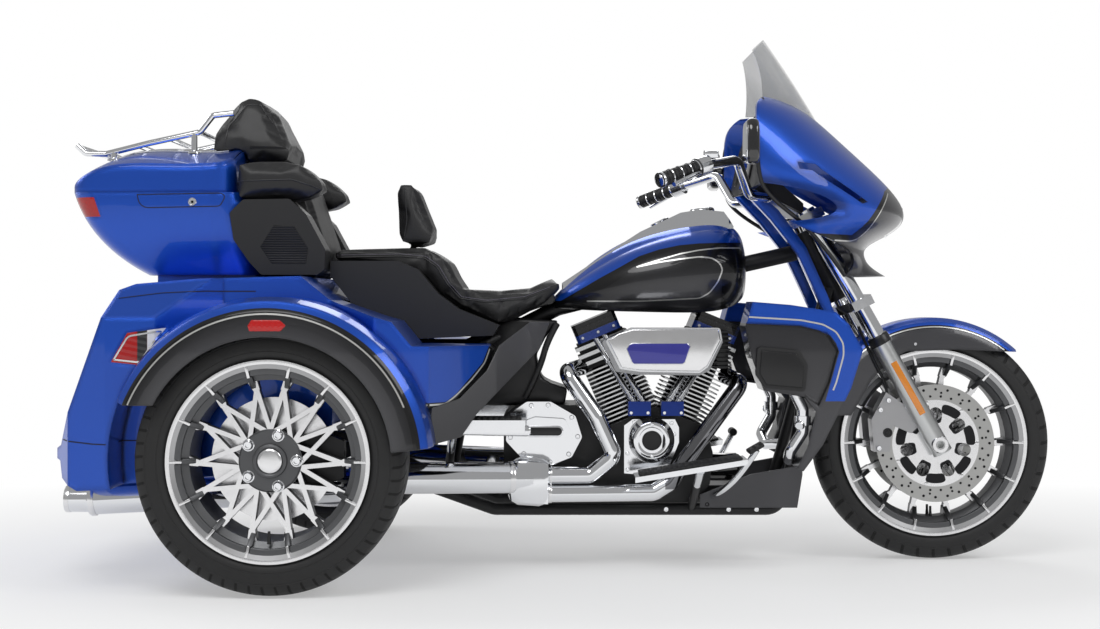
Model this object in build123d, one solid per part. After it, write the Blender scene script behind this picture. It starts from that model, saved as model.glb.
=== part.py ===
from build123d import *
import math
import os

# Motorized trike, full size, millimetres: +X forward, +Y left, +Z up, ground at Z 0

# Driving sizes of the running gear
WHEELBASE = 1720
REAR_AXLE_X = -720
FRONT_AXLE_X = REAR_AXLE_X + WHEELBASE
REAR_TYRE_RADIUS = 326
REAR_TYRE_WIDTH = 215
REAR_RIM_RADIUS = 243
REAR_TRACK = 1115
FRONT_TYRE_RADIUS = 322
FRONT_TYRE_WIDTH = 130
FRONT_RIM_RADIUS = 255
RAKE = 26
TRAIL = 100
STEER_LOCK = 35
FORK_ANGLE = 29.5
FORK_SPREAD = 112

# Clearances
FIT = 0.3
RUNNING_GAP = 12
PANEL_GAP = 5

# Wall of the painted panels and of the thin covers
PANEL_WALL = 4
SHEET_WALL = 5

# Wheel details
SECTORS = 7
RIM_LIP = 9
RIM_WALL = 7
REAR_HUB_RADIUS = 76
FRONT_HUB_RADIUS = 46
SPOKE_WIDTH = 11
LEG_WIDTH = 15
REAR_SPOKE_RECESS = 42
REAR_SPOKE_DEPTH = 30
FRONT_SPOKE_DEPTH = 24
REAR_DISC_RADIUS = 150
FRONT_DISC_RADIUS = 160
DISC_THICKNESS = 6
DISC_STANDOFF = 18
DISC_WINDOW_RING = 80
DISC_WINDOW = 36
REAR_BELL_RADIUS = 70
CAP_RADIUS = 30
CAP_HEIGHT = 10
FRONT_DISC_Y = 80
FRONT_AXLE_DIAMETER = 24

# Frame tubes
RAIL_Y = 125
RAIL_Z = 148
RAIL_DIAMETER = 32
RAIL_FRONT_X = 565
RAIL_REAR_X = -200
SEAT_RAIL_Z = 588
BACKBONE_DIAMETER = 44
HEAD_TUBE_DIAMETER = 60
STEM_DIAMETER = 30
CRADLE_END_X = -560
CRADLE_END_Z = 300
AXLE_TUBE_DIAMETER = 84
DIFFERENTIAL_DIAMETER = 120
DIFFERENTIAL_HALF = 75
HEAD_LOW_Z = 715
HEAD_HIGH_Z = 905

# Engine
CRANK_X = 238
CRANK_Z = 245
CYLINDER_LEAN = 22.5
CYLINDER_FOOT = 165
HEAD_FOOT = 325
HEAD_TOP = 400
ROCKER_TOP = 452
ROCKER_HALF_LENGTH = 62
HEAD_GAP = 6
FIN_SIZE = 150
FIN_PITCH = 12
FIN_THICKNESS = 4
BARREL_RADIUS = 56
CASE_HALF_WIDTH = 118
ROCKER_HALF_WIDTH = 104
PUSHROD_DIAMETER = 18

# Body and load spaces
BODY_HALF_WIDTH = 480
REAR_CORNER_HALF_WIDTH = 610
TUB_OUTER = 438
FENDER_OUTER_Y = 700
FENDER_CREST_RADIUS = 393
FENDER_LIP_RADIUS = 297
WHEEL_WELL_RADIUS = 348
DOOR_HALF_WIDTH = 350
DOOR_LOW = 10
DOOR_HIGH = 330
DOOR_THICKNESS = 16
HINGE_EAR = 14
HINGE_PIN = 8
LAMP_INNER_Y = 560
FENDER_BACK = 68
FENDER_TURN = 153
FENDER_TAIL_Z = 462
VALANCE_HALF_WIDTH = 228
PACK_HALF_WIDTH = 300
PACK_SEAM_Z = 992
PACK_FRONT_X = -872
PACK_REAR_X = -1297
PACK_CORNER_RADIUS = 60
LID_OVERLAP = 8
LID_EDGE_RADIUS = 14

RACK_Y = 168
RACK_DIAMETER = 16

# Fork and fairing
CLAMP_LOW_Z = 690
CLAMP_HIGH_Z = 934
CLAMP_THICKNESS = 26
AXLE_BORE_DIAMETER = 18
AXLE_BORE_DEPTH = 30
LEG_TOP_Z = 955
SLIDER_TOP_Z = 600
SLIDER_DIAMETER = 54
FENDER_HALF_WIDTH = 80
FRONT_FENDER_RADIUS = 342
LENS_DEPTH = 24

SCREEN_THICKNESS = 5
BAR_DIAMETER = 26
GRIP_DIAMETER = 38
GRIP_LENGTH = 120

# Leg shields, guard, spoiler and boards
SHIELD_INNER_Y = 205
SHIELD_OUTER_Y = 345
RECESS = 14
GUARD_DIAMETER = 30
CHIN_HALF_WIDTH = 146
CHIN_WALL = 4.7
BOARD_INNER_Y = 246
BOARD_OUTER_Y = 362

# Seats
CUSHION_HALF_WIDTH = 196
SEAT_HALF_WIDTH = 172
BACKREST_HALF_WIDTH = 105

# Tank
TANK_HALF_WIDTH = 182

# Exhaust
MUFFLER_Y = 320
MUFFLER_RADIUS = 41
TIP_RADIUS = 34
TIP_BORE = 29
TIP_DEPTH = 70
TIP_Z = 199
MUFFLER_END_X = -1235
TIP_END_X = -1296
PIPE_DIAMETER = 46

# Worked-out places
REAR_WHEEL_Y = REAR_TRACK / 2
STEER_X0 = FRONT_AXLE_X + TRAIL
RAKE_SLOPE = math.tan(math.radians(RAKE))
FORK_SLOPE = math.tan(math.radians(FORK_ANGLE))


def axis_x(z):
    """X of the steering axis at height z."""
    return STEER_X0 - RAKE_SLOPE * z


def leg_x(z):
    """X of the fork legs at height z."""
    return FRONT_AXLE_X - FORK_SLOPE * (z - FRONT_TYRE_RADIUS)


def side_face(points, y, radius=0):
    """Closed face in the side view from (x, z) corners, at depth y."""
    corners = [(x, y, z) for x, z in points]
    if radius:
        return Face(Wire(FilletPolyline(*corners, radius=radius, close=True).edges()))
    return Face(Wire.make_polygon([Vector(*c) for c in corners], close=True))


def slab(points, y0, y1, radius=0):
    """Side-view outline carried from depth y0 to y1."""
    return Solid.extrude(side_face(points, y0, radius), Vector(0, y1 - y0, 0))


def plan_slab(points, z0, z1, radius=0):
    """Outline seen from above carried from height z0 to z1."""
    corners = [(x, y, z0) for x, y in points]
    if radius:
        wire = Wire(FilletPolyline(*corners, radius=radius, close=True).edges())
    else:
        wire = Wire.make_polygon([Vector(*c) for c in corners], close=True)
    return Solid.extrude(Face(wire), Vector(0, 0, z1 - z0))


def box(x0, x1, y0, y1, z0, z1):
    """Plain block between two corners."""
    return Solid.make_box(x1 - x0, y1 - y0, z1 - z0, Plane((x0, y0, z0)))


def rod(start, end, diameter):
    """Round bar between two points."""
    a, b = Vector(*start), Vector(*end)
    return Solid.make_cylinder(diameter / 2, (b - a).length, Plane(origin=a, z_dir=b - a))


def tube(points, diameter, bend):
    """Round bar along straight runs with bends of one radius."""
    path = Wire(FilletPolyline(*points, radius=bend).edges())
    start = Plane(origin=path @ 0, z_dir=path % 0)
    return Solid.sweep(Face(Wire.make_circle(diameter / 2, start)), path)


def wheel_ring(x, z, profile, turn=360, start=0):
    """Turned piece about a cross axle, from a closed (y, radius) profile."""
    corners = [Vector(x, y, z + r) for y, r in profile]
    face = Face(Wire.make_polygon(corners, close=True))
    if start:
        face = face.rotate(Axis((x, 0, z), (0, 1, 0)), start)
    return Solid.revolve(face, turn, Axis((x, 0, z), (0, 1, 0)))


def across(shape):
    """The piece and its twin on the other side."""
    return [shape, shape.mirror(Plane.XZ)]


def join(pieces):
    """One solid from pieces that touch."""
    solid = pieces[0].fuse(*pieces[1:])
    return solid.solids()[0] if len(solid.solids()) == 1 else solid


def save(name, pieces):
    """Write one node."""
    solids = []
    for piece in pieces:
        solids.extend(piece.solids())
    shape = solids[0] if len(solids) == 1 else Compound(solids)
    export_step(shape, f"parts/{name}.step")


def tyre(x, y, z, radius, width, rim_radius):
    """Closed tyre seated between the rim's flanges."""
    half = width / 2
    bead = half - RIM_LIP - FIT
    seat = rim_radius - 12
    profile = [(-bead, seat), (-bead, rim_radius + 1), (-half, rim_radius + 28), (-half + 3, radius - 22),
               (-half + 18, radius - 5), (-half * 0.45, radius), (half * 0.45, radius),
               (half - 18, radius - 5), (half - 3, radius - 22), (half, rim_radius + 28),
               (bead, rim_radius + 1), (bead, seat)]
    return wheel_ring(x, z, [(y + across_y, r) for across_y, r in profile])


def bar_outline(x, z, r0, a0, r1, a1, w0, w1):
    """Corners of a flat bar between two polar points about a wheel's centre."""
    p = Vector(x + r0 * math.cos(math.radians(a0)), 0, z + r0 * math.sin(math.radians(a0)))
    q = Vector(x + r1 * math.cos(math.radians(a1)), 0, z + r1 * math.sin(math.radians(a1)))
    along = (q - p).normalized()
    side = Vector(-along.Z, 0, along.X)
    corners = [p + side * (w0 / 2), q + side * (w1 / 2), q - side * (w1 / 2), p - side * (w0 / 2)]
    return [(c.X, c.Z) for c in corners]


def rim_barrel(x, z, width, rim_radius):
    """Turned barrel of a cast rim with its lips, bead seats and drop centre."""
    half = width / 2
    flange = rim_radius
    seat = rim_radius - 12 - FIT
    well = rim_radius - 42
    inner = rim_radius - 26
    lip = half - RIM_LIP
    profile = [(-half + 1, flange), (-lip, flange), (-lip, seat), (-lip + 22, seat), (-lip + 40, well),
               (lip - 40, well), (lip - 22, seat), (lip, seat), (lip, flange), (half - 1, flange),
               (half - 1, flange - RIM_WALL), (lip + 2, inner + 4), (lip - 14, seat - RIM_WALL),
               (lip - 32, well - RIM_WALL), (-lip + 32, well - RIM_WALL), (-lip + 14, seat - RIM_WALL),
               (-lip - 2, inner + 4), (-half + 1, flange - RIM_WALL)]
    return wheel_ring(x, z, profile)


def spoked_wheel(x, y, z, width, rim_radius, hub_radius, recess, depth, side):
    """Rim, paired spokes and hub of one wheel centred at y."""
    barrel = rim_barrel(x, z, width, rim_radius).moved(Location((0, y, 0)))
    front = y + side * (width / 2 - recess)
    back = front - side * depth
    y0, y1 = min(front, back), max(front, back)
    node_radius = rim_radius * 0.715
    well = rim_radius - 42 - RIM_WALL / 2
    pieces = [barrel, rod((x, y0, z), (x, y1, z), 2 * hub_radius)]
    half_pitch = 360 / SECTORS / 2
    for k in range(SECTORS):
        mid = 90 + k * 360 / SECTORS
        for hand in (-1, 1):
            outer = mid + hand * half_pitch * 0.42
            rim_angle = mid + hand * half_pitch * 0.5
            foot = mid + hand * half_pitch * 1.66
            bars = [(hub_radius - 4, mid, node_radius, outer, SPOKE_WIDTH, SPOKE_WIDTH),
                    (hub_radius - 4, foot, node_radius, outer, SPOKE_WIDTH, SPOKE_WIDTH),
                    (node_radius - 3, outer, well, rim_angle, LEG_WIDTH, LEG_WIDTH * 1.5)]
            for bar in bars:
                pieces.append(slab(bar_outline(x, z, *bar), y0, y1))
    return join(pieces)


def yz_section(x, z_low, half_low, z_mid, half_mid, z_top, half_top, z_crown):
    """Closed hull-like section: flat bottom, curved flanks, crowned top."""
    bl, br = Vector(x, half_low, z_low), Vector(x, -half_low, z_low)
    ml, mr = Vector(x, half_mid, z_mid), Vector(x, -half_mid, z_mid)
    tl, tr = Vector(x, half_top, z_top), Vector(x, -half_top, z_top)
    edges = [Edge.make_line(bl, br), Edge.make_three_point_arc(br, mr, tr),
             Edge.make_three_point_arc(tr, Vector(x, 0, z_crown), tl),
             Edge.make_three_point_arc(tl, ml, bl)]
    return Wire(edges)


def d_section(z, back_x, half, nose_x):
    """Level section with a straight back and a rounded nose."""
    left, right = Vector(back_x, half, z), Vector(back_x, -half, z)
    arc = Edge.make_three_point_arc(left, Vector(nose_x, 0, z), right)
    return Wire([arc, Edge.make_line(right, left)])


def rounded_level(z, x0, x1, half, radius):
    """Level rounded rectangle between x0 and x1."""
    corners = [(x0, -half, z), (x1, -half, z), (x1, half, z), (x0, half, z)]
    return Wire(FilletPolyline(*corners, radius=radius, close=True).edges())


def leaning(z):
    """Plane square to the steering axis at height z, its x forward."""
    lean = math.radians(RAKE)
    return Plane(origin=(axis_x(z), 0, z), x_dir=(math.cos(lean), 0, math.sin(lean)),
                 z_dir=(-math.sin(lean), 0, math.cos(lean)))


def cylinder_plane(lean):
    """Plane at the crank whose z runs up one cylinder."""
    turn = math.radians(lean)
    return Plane(origin=(CRANK_X, 0, CRANK_Z), x_dir=(math.cos(turn), 0, -math.sin(turn)),
                 z_dir=(math.sin(turn), 0, math.cos(turn)))


def local_box(plane, x0, x1, y0, y1, z0, z1):
    """Block with its corners given in a plane's own directions."""
    corner = plane.from_local_coords(Vector(x0, y0, z0))
    return Solid.make_box(x1 - x0, y1 - y0, z1 - z0, Plane(origin=corner, x_dir=plane.x_dir, z_dir=plane.z_dir))


os.makedirs("parts", exist_ok=True)

# Rear wheels, each with its brake disc and centre cap
rear_spoke_out = REAR_TYRE_WIDTH / 2 - REAR_SPOKE_RECESS
rear_disc_out = rear_spoke_out - REAR_SPOKE_DEPTH - DISC_STANDOFF
rear_disc_in = rear_disc_out - DISC_THICKNESS
for side, hand in ((-1, "right"), (1, "left")):
    wheel_y = side * REAR_WHEEL_Y
    wheel = spoked_wheel(REAR_AXLE_X, wheel_y, REAR_TYRE_RADIUS, REAR_TYRE_WIDTH, REAR_RIM_RADIUS,
                         REAR_HUB_RADIUS, REAR_SPOKE_RECESS, REAR_SPOKE_DEPTH, side)
    hub_pieces = [wheel]
    for near, far, radius in ((rear_spoke_out - REAR_SPOKE_DEPTH, rear_disc_out, REAR_BELL_RADIUS),
                              (rear_disc_in, rear_disc_out, REAR_DISC_RADIUS),
                              (rear_spoke_out, rear_spoke_out + CAP_HEIGHT, CAP_RADIUS)):
        hub_pieces.append(rod((REAR_AXLE_X, wheel_y + side * near, REAR_TYRE_RADIUS),
                              (REAR_AXLE_X, wheel_y + side * far, REAR_TYRE_RADIUS), 2 * radius))
    save(f"rear_rim_{hand}", [join(hub_pieces)])
    save(f"rear_tyre_{hand}", [tyre(REAR_AXLE_X, wheel_y, REAR_TYRE_RADIUS, REAR_TYRE_RADIUS,
                                    REAR_TYRE_WIDTH, REAR_RIM_RADIUS)])

# Front wheel with a disc on each side
front_recess = (FRONT_TYRE_WIDTH - FRONT_SPOKE_DEPTH) / 2
front_wheel = spoked_wheel(FRONT_AXLE_X, 0, FRONT_TYRE_RADIUS, FRONT_TYRE_WIDTH, FRONT_RIM_RADIUS,
                           FRONT_HUB_RADIUS, front_recess, FRONT_SPOKE_DEPTH, -1)
disc_inner_y = FRONT_DISC_Y - DISC_THICKNESS / 2
disc_outer_y = FRONT_DISC_Y + DISC_THICKNESS / 2
front_hub = rod((FRONT_AXLE_X, -disc_inner_y, FRONT_TYRE_RADIUS),
                (FRONT_AXLE_X, disc_inner_y, FRONT_TYRE_RADIUS), 2 * FRONT_HUB_RADIUS)
front_bore = rod((FRONT_AXLE_X, -FORK_SPREAD, FRONT_TYRE_RADIUS), (FRONT_AXLE_X, FORK_SPREAD, FRONT_TYRE_RADIUS),
                 FRONT_AXLE_DIAMETER + 2 * FIT)
save("front_rim", [join([front_wheel, front_hub]) - front_bore])
save("front_tyre", [tyre(FRONT_AXLE_X, 0, FRONT_TYRE_RADIUS, FRONT_TYRE_RADIUS, FRONT_TYRE_WIDTH,
                         FRONT_RIM_RADIUS)])
front_disc = rod((FRONT_AXLE_X, disc_inner_y, FRONT_TYRE_RADIUS),
                 (FRONT_AXLE_X, disc_outer_y, FRONT_TYRE_RADIUS), 2 * FRONT_DISC_RADIUS) - front_bore
for k in range(SECTORS):
    turn = math.radians(90 + k * 360 / SECTORS)
    wx = FRONT_AXLE_X + DISC_WINDOW_RING * math.cos(turn)
    wz = FRONT_TYRE_RADIUS + DISC_WINDOW_RING * math.sin(turn)
    front_disc = front_disc - rod((wx, disc_inner_y - 1, wz), (wx, disc_outer_y + 1, wz), DISC_WINDOW)
save("front_discs", across(front_disc))

# Frame: head tube, backbone, cradle rails and seat rails
rail = [(CRADLE_END_X, RAIL_Y, CRADLE_END_Z), (-360, RAIL_Y, 205), (RAIL_REAR_X, RAIL_Y, RAIL_Z),
        (RAIL_FRONT_X, RAIL_Y, RAIL_Z), (603, RAIL_Y - 6, 270), (668, 22, 560),
        (axis_x(HEAD_LOW_Z + 30) - 14, 18, HEAD_LOW_Z + 30)]
seat_rail = [(-95, 8, 655), (-240, RAIL_Y - 15, SEAT_RAIL_Z), (-470, RAIL_Y, SEAT_RAIL_Z),
             (CRADLE_END_X, RAIL_Y, CRADLE_END_Z)]
spine_z = 855
spine = [(axis_x(spine_z), 0, spine_z), (136, 0, 732), (-30, 0, 690), (-230, 0, SEAT_RAIL_Z)]
head_low = (axis_x(HEAD_LOW_Z), 0, HEAD_LOW_Z)
head_high = (axis_x(HEAD_HIGH_Z), 0, HEAD_HIGH_Z)
frame_pieces = [rod(head_low, head_high, HEAD_TUBE_DIAMETER),
                tube(spine, BACKBONE_DIAMETER, 60)]
frame_pieces.extend(across(tube(rail, RAIL_DIAMETER, 45)))
frame_pieces.extend(across(tube(seat_rail, RAIL_DIAMETER - 4, 45)))
for cross_x, cross_z in ((-100, RAIL_Z), (440, RAIL_Z), (-230, SEAT_RAIL_Z), (-440, SEAT_RAIL_Z),
                         (CRADLE_END_X, CRADLE_END_Z)):
    frame_pieces.append(rod((cross_x, -RAIL_Y, cross_z), (cross_x, RAIL_Y, cross_z), RAIL_DIAMETER - 6))
hanger = slab([(CRADLE_END_X + 15, CRADLE_END_Z - 25), (CRADLE_END_X + 15, CRADLE_END_Z + 25),
               (REAR_AXLE_X, REAR_TYRE_RADIUS + 20), (REAR_AXLE_X, REAR_TYRE_RADIUS - 20)],
              RAIL_Y - 14, RAIL_Y + 14)
frame_pieces.extend(across(hanger))
stem_bore = rod((axis_x(HEAD_LOW_Z - 40), 0, HEAD_LOW_Z - 40), (axis_x(HEAD_HIGH_Z + 40), 0, HEAD_HIGH_Z + 40),
                STEM_DIAMETER + 2 * FIT)
frame = join(frame_pieces) - stem_bore
save("frame", [frame])

# Rear axle: tubes out to the wheels round a differential
axle_end = REAR_WHEEL_Y + rear_disc_in - FIT
axle = join([rod((REAR_AXLE_X, -axle_end, REAR_TYRE_RADIUS), (REAR_AXLE_X, axle_end, REAR_TYRE_RADIUS),
                 AXLE_TUBE_DIAMETER),
             rod((REAR_AXLE_X, -DIFFERENTIAL_HALF, REAR_TYRE_RADIUS),
                 (REAR_AXLE_X, DIFFERENTIAL_HALF, REAR_TYRE_RADIUS), DIFFERENTIAL_DIAMETER)])
caliper_back = [(30, -28), (46, -52), (118, -66), (172, -44), (172, 44), (118, 66), (46, 52), (30, 28)]
caliper_side = [(REAR_AXLE_X + dx, REAR_TYRE_RADIUS + dz) for dx, dz in caliper_back]
caliper_body = slab(caliper_side, REAR_WHEEL_Y - 12, REAR_WHEEL_Y + rear_disc_out + RUNNING_GAP)
rear_disc_room = rod((REAR_AXLE_X, REAR_WHEEL_Y + rear_disc_in - PANEL_GAP, REAR_TYRE_RADIUS),
                     (REAR_AXLE_X, REAR_WHEEL_Y + 200, REAR_TYRE_RADIUS), 2 * (REAR_BELL_RADIUS + PANEL_GAP))
rear_disc_slot = rod((REAR_AXLE_X, REAR_WHEEL_Y + rear_disc_in - PANEL_GAP, REAR_TYRE_RADIUS),
                     (REAR_AXLE_X, REAR_WHEEL_Y + rear_disc_out + PANEL_GAP, REAR_TYRE_RADIUS),
                     2 * (REAR_DISC_RADIUS + PANEL_GAP))
rear_caliper = caliper_body - rear_disc_slot - rear_disc_room
axle = join([axle] + across(rear_caliper))
save("rear_axle", [axle - frame])

# Crankcase and gearbox in one block, with decks square to the two cylinders
deck = cylinder_plane(CYLINDER_LEAN)
deck_out = deck.from_local_coords(Vector(FIN_SIZE / 2, 0, CYLINDER_FOOT))
deck_apex_z = CRANK_Z + CYLINDER_FOOT / math.cos(math.radians(CYLINDER_LEAN))
case_outline = [(-175, 245), (-175, 400), (-140, 428), (20, 428), (2 * CRANK_X - deck_out.X, deck_out.Z),
                (CRANK_X, deck_apex_z), (deck_out.X, deck_out.Z), (390, 300), (382, 215), (340, 166),
                (140, 166), (-60, 200)]
crankcase = slab(case_outline, -CASE_HALF_WIDTH, CASE_HALF_WIDTH) - frame
mount_foot = box(-125, -75, -60, 60, RAIL_Z, 215) - frame
front_foot = box(360, 465, -60, 60, RAIL_Z, 205) - frame
crankcase = join([crankcase, mount_foot, front_foot])
save("crankcase", [crankcase])

# Finned cylinders with their heads
cylinders = []
rockers = []
for lean in (-CYLINDER_LEAN, CYLINDER_LEAN):
    plane = cylinder_plane(lean)
    half = FIN_SIZE / 2
    pieces = [Solid.make_cylinder(BARREL_RADIUS, HEAD_TOP - CYLINDER_FOOT,
                                  Plane(origin=plane.from_local_coords(Vector(0, 0, CYLINDER_FOOT)),
                                        z_dir=plane.z_dir))]
    fins = int((HEAD_FOOT - CYLINDER_FOOT) / FIN_PITCH)
    for k in range(fins):
        foot = CYLINDER_FOOT + 6 + k * FIN_PITCH
        pieces.append(local_box(plane, -half, half, -half, half, foot, foot + FIN_THICKNESS))
    pieces.append(local_box(plane, -half + 8, half - 8, -half + 8, half - 8, HEAD_FOOT, HEAD_TOP))
    for k in range(3):
        foot = HEAD_FOOT + 12 + k * 22
        pieces.append(local_box(plane, -half, half, -half - 6, half + 6, foot, foot + 10))
    barrel = join(pieces)
    if lean < 0:
        barrel = barrel & box(-400, CRANK_X - 1, -200, 200, 0, 900)
    else:
        barrel = barrel & box(CRANK_X + 1, 900, -200, 200, 0, 900)
    cylinders.append(barrel)
    cover = local_box(plane, -ROCKER_HALF_LENGTH, ROCKER_HALF_LENGTH, -ROCKER_HALF_WIDTH, ROCKER_HALF_WIDTH,
                      HEAD_TOP, ROCKER_TOP)
    rockers.append(chamfer(cover.edges().filter_by(GeomType.LINE).group_by(SortBy.LENGTH)[0], 9))
save("cylinders", cylinders)
save("rocker_covers", rockers)

# Pushrod tubes on their tappet blocks, right side
pushrods = []
for block_x, block_z, lean in ((190, 418, -CYLINDER_LEAN), (278, 418, CYLINDER_LEAN)):
    plane = cylinder_plane(lean)
    block = box(block_x - 30, block_x + 30, -CASE_HALF_WIDTH - 44, -CASE_HALF_WIDTH, block_z - 16, block_z + 22)
    parts_here = [block]
    for offset in (-13, 13):
        foot = Vector(block_x + offset, -CASE_HALF_WIDTH - 26, block_z + 15)
        top = plane.from_local_coords(Vector(offset, -ROCKER_HALF_WIDTH + 14, HEAD_TOP))
        parts_here.append(rod(foot, top, PUSHROD_DIAMETER))
    pushrods.append(join(parts_here) - crankcase - rockers[0] - rockers[1] - cylinders[0] - cylinders[1])
save("pushrods", pushrods)

# Cam cover and gearbox cover on the right, primary cover on the left
cam_base = slab([(149, 247), (149, 375), (172, 392), (285, 392), (296, 370), (296, 330), (268, 262), (240, 240)],
                -CASE_HALF_WIDTH - 32, -CASE_HALF_WIDTH)
cam_dome = rod((221, -CASE_HALF_WIDTH - 32, 338), (221, -CASE_HALF_WIDTH - 70, 338), 122)
cam_cover = join([cam_base, chamfer(cam_dome.edges().filter_by(GeomType.CIRCLE).sort_by(Axis.Y)[0], 12)])
gear_outline = [(-168, 335), (-162, 405), (-112, 440), (-48, 440), (18, 402), (36, 345), (8, 292), (-52, 268),
                (-128, 292)]
gear_oval = [(-130, 335), (-130, 385), (-90, 400), (-10, 395), (6, 360), (-10, 325), (-90, 315)]
gear_cover = join([slab(gear_outline, -CASE_HALF_WIDTH - 48, -CASE_HALF_WIDTH, 14),
                   slab(gear_oval, -CASE_HALF_WIDTH - 66, -CASE_HALF_WIDTH - 48, 14)])
primary_outline = [(-165, 260), (-165, 390), (-90, 425), (20, 400), (250, 385), (350, 370), (385, 300), (350, 215),
                   (250, 190), (-60, 215)]
primary = join([slab(primary_outline, CASE_HALF_WIDTH, CASE_HALF_WIDTH + 52, 40),
                rod((CRANK_X, CASE_HALF_WIDTH + 52, 290), (CRANK_X, CASE_HALF_WIDTH + 66, 290), 150),
                rod((-70, CASE_HALF_WIDTH + 52, 330), (-70, CASE_HALF_WIDTH + 66, 330), 130)])
save("engine_covers", [cam_cover, gear_cover, primary])

# Air cleaner on its intake duct
cleaner_outline = [(94, 607), (164, 639), (395, 639), (400, 607), (363, 536), (342, 521), (185, 524), (133, 531)]
cleaner_back = [(86, 603), (160, 632), (402, 632), (408, 600), (372, 524), (346, 512), (178, 514), (124, 522)]
cleaner = join([slab(cleaner_outline, -262, -205, 8), slab(cleaner_back, -205, -172, 8),
                box(CRANK_X - 32, CRANK_X + 32, -172, -20, 556, 612)])
air_cleaner = cleaner - cylinders[0] - cylinders[1] - rockers[0] - rockers[1] - pushrods[0] - pushrods[1]
save("air_cleaner", [air_cleaner.solids().sort_by(SortBy.VOLUME)[-1]])

# Exhaust: two header pipes into a muffler on each side
rear_header = tube([(35, -60, 528), (-8, -190, 520), (75, -205, 400), (120, -205, 300), (56, -205, 248),
                    (-70, -215, 248)], PIPE_DIAMETER, 26)
front_header = tube([(430, -60, 505), (462, -160, 490), (350, -175, 339), (268, -185, 225), (225, -190, 200),
                     (-70, -215, 200)], PIPE_DIAMETER, 26)
exhaust_pieces = [rear_header, front_header]
exhaust_pieces.append(slab([(-55, 176), (-55, 272), (-110, 286), (-150, 282), (-150, 206), (-110, 180)], -250, -188))
for side, start_x in ((-1, -100), (1, -170)):
    line = [(start_x, side * 222, 243), (-430, side * 280, 248), (-600, side * MUFFLER_Y, 232),
            (MUFFLER_END_X, side * MUFFLER_Y, TIP_Z)]
    muffler = tube(line, 2 * MUFFLER_RADIUS, 120)
    tip = rod((MUFFLER_END_X + 1, side * MUFFLER_Y, TIP_Z), (TIP_END_X, side * MUFFLER_Y, TIP_Z), 2 * TIP_RADIUS)
    exhaust_pieces.extend([muffler, tip])
exhaust_pieces.append(rod((-215, -230, 243), (-215, 230, 243), PIPE_DIAMETER))
exhaust = join(exhaust_pieces)
for side in (-1, 1):
    exhaust = exhaust - rod((TIP_END_X - 1, side * MUFFLER_Y, TIP_Z), (TIP_END_X + TIP_DEPTH, side * MUFFLER_Y, TIP_Z),
                            2 * TIP_BORE)
exhaust = exhaust - cylinders[0] - cylinders[1]
exhaust = exhaust.solids().sort_by(SortBy.VOLUME)[-1]
save("exhaust", [exhaust])

# Fuel tank, lofted, straddling the backbone, with its console
# Columns: x, low z, low half width, flank z, flank half width, top z, top half width, crown z
tank_sections = [(-36, 690, 42, 702, 54, 716, 40, 724),
                 (60, 684, 95, 735, 125, 788, 72, 812),
                 (190, 680, 118, 755, 168, 856, 92, 888),
                 (330, 678, 122, 770, TANK_HALF_WIDTH, 896, 92, 924),
                 (430, 690, 105, 780, 160, 900, 78, 924),
                 (483, 735, 52, 785, 84, 850, 42, 866)]
tank_form = Solid.make_loft([yz_section(*row) for row in tank_sections])
tunnel = slab([(-60, 600), (-60, 705), (0, 716), (136, 758), (500, 842), (500, 600)], -BACKBONE_DIAMETER / 2 - 8,
              BACKBONE_DIAMETER / 2 + 8)
tank = tank_form - tunnel - frame
for lean in (-CYLINDER_LEAN, CYLINDER_LEAN):
    tank = tank - local_box(cylinder_plane(lean), -ROCKER_HALF_LENGTH - HEAD_GAP, ROCKER_HALF_LENGTH + HEAD_GAP,
                            -ROCKER_HALF_WIDTH - HEAD_GAP, ROCKER_HALF_WIDTH + HEAD_GAP, HEAD_TOP,
                            ROCKER_TOP + HEAD_GAP)
save("fuel_tank", [tank.solids().sort_by(SortBy.VOLUME)[-1]])
console_outline = [(-17, 740), (-17, 759), (87, 828), (197, 899), (307, 951), (362, 960), (426, 954), (456, 914),
                   (440, 880), (300, 900), (180, 850), (60, 780)]
console_plan = [(-20, -30), (120, -52), (330, -62), (440, -58), (458, -30), (458, 30), (440, 58), (330, 62),
                (120, 52), (-20, 30)]
console = slab(console_outline, -80, 80) & plan_slab(console_plan, 700, 1000)
console = (console - tank_form).solids().sort_by(SortBy.VOLUME)[-1]
save("tank_console", [console])

# Rear body form: side outline, plan and cross section meet in one shell with wheel wells
body_side = [(-1246, 357), (-1105, 736), (-1068, 751), (-919, 764), (-770, 769), (-670, 771), (-596, 711),
             (-596, 395), (-840, 395), (-880, 270), (-1068, 258), (-1192, 250), (-1241, 277), (-1250, 318),
             (-1264, 322), (-1264, 347)]
body_plan = [(-1270, -500), (-1215, -590), (-1120, -REAR_CORNER_HALF_WIDTH), (-1000, -REAR_CORNER_HALF_WIDTH),
             (-860, -BODY_HALF_WIDTH), (-590, -BODY_HALF_WIDTH), (-590, BODY_HALF_WIDTH),
             (-860, BODY_HALF_WIDTH), (-1000, REAR_CORNER_HALF_WIDTH), (-1120, REAR_CORNER_HALF_WIDTH),
             (-1215, 590), (-1270, 500)]


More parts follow.
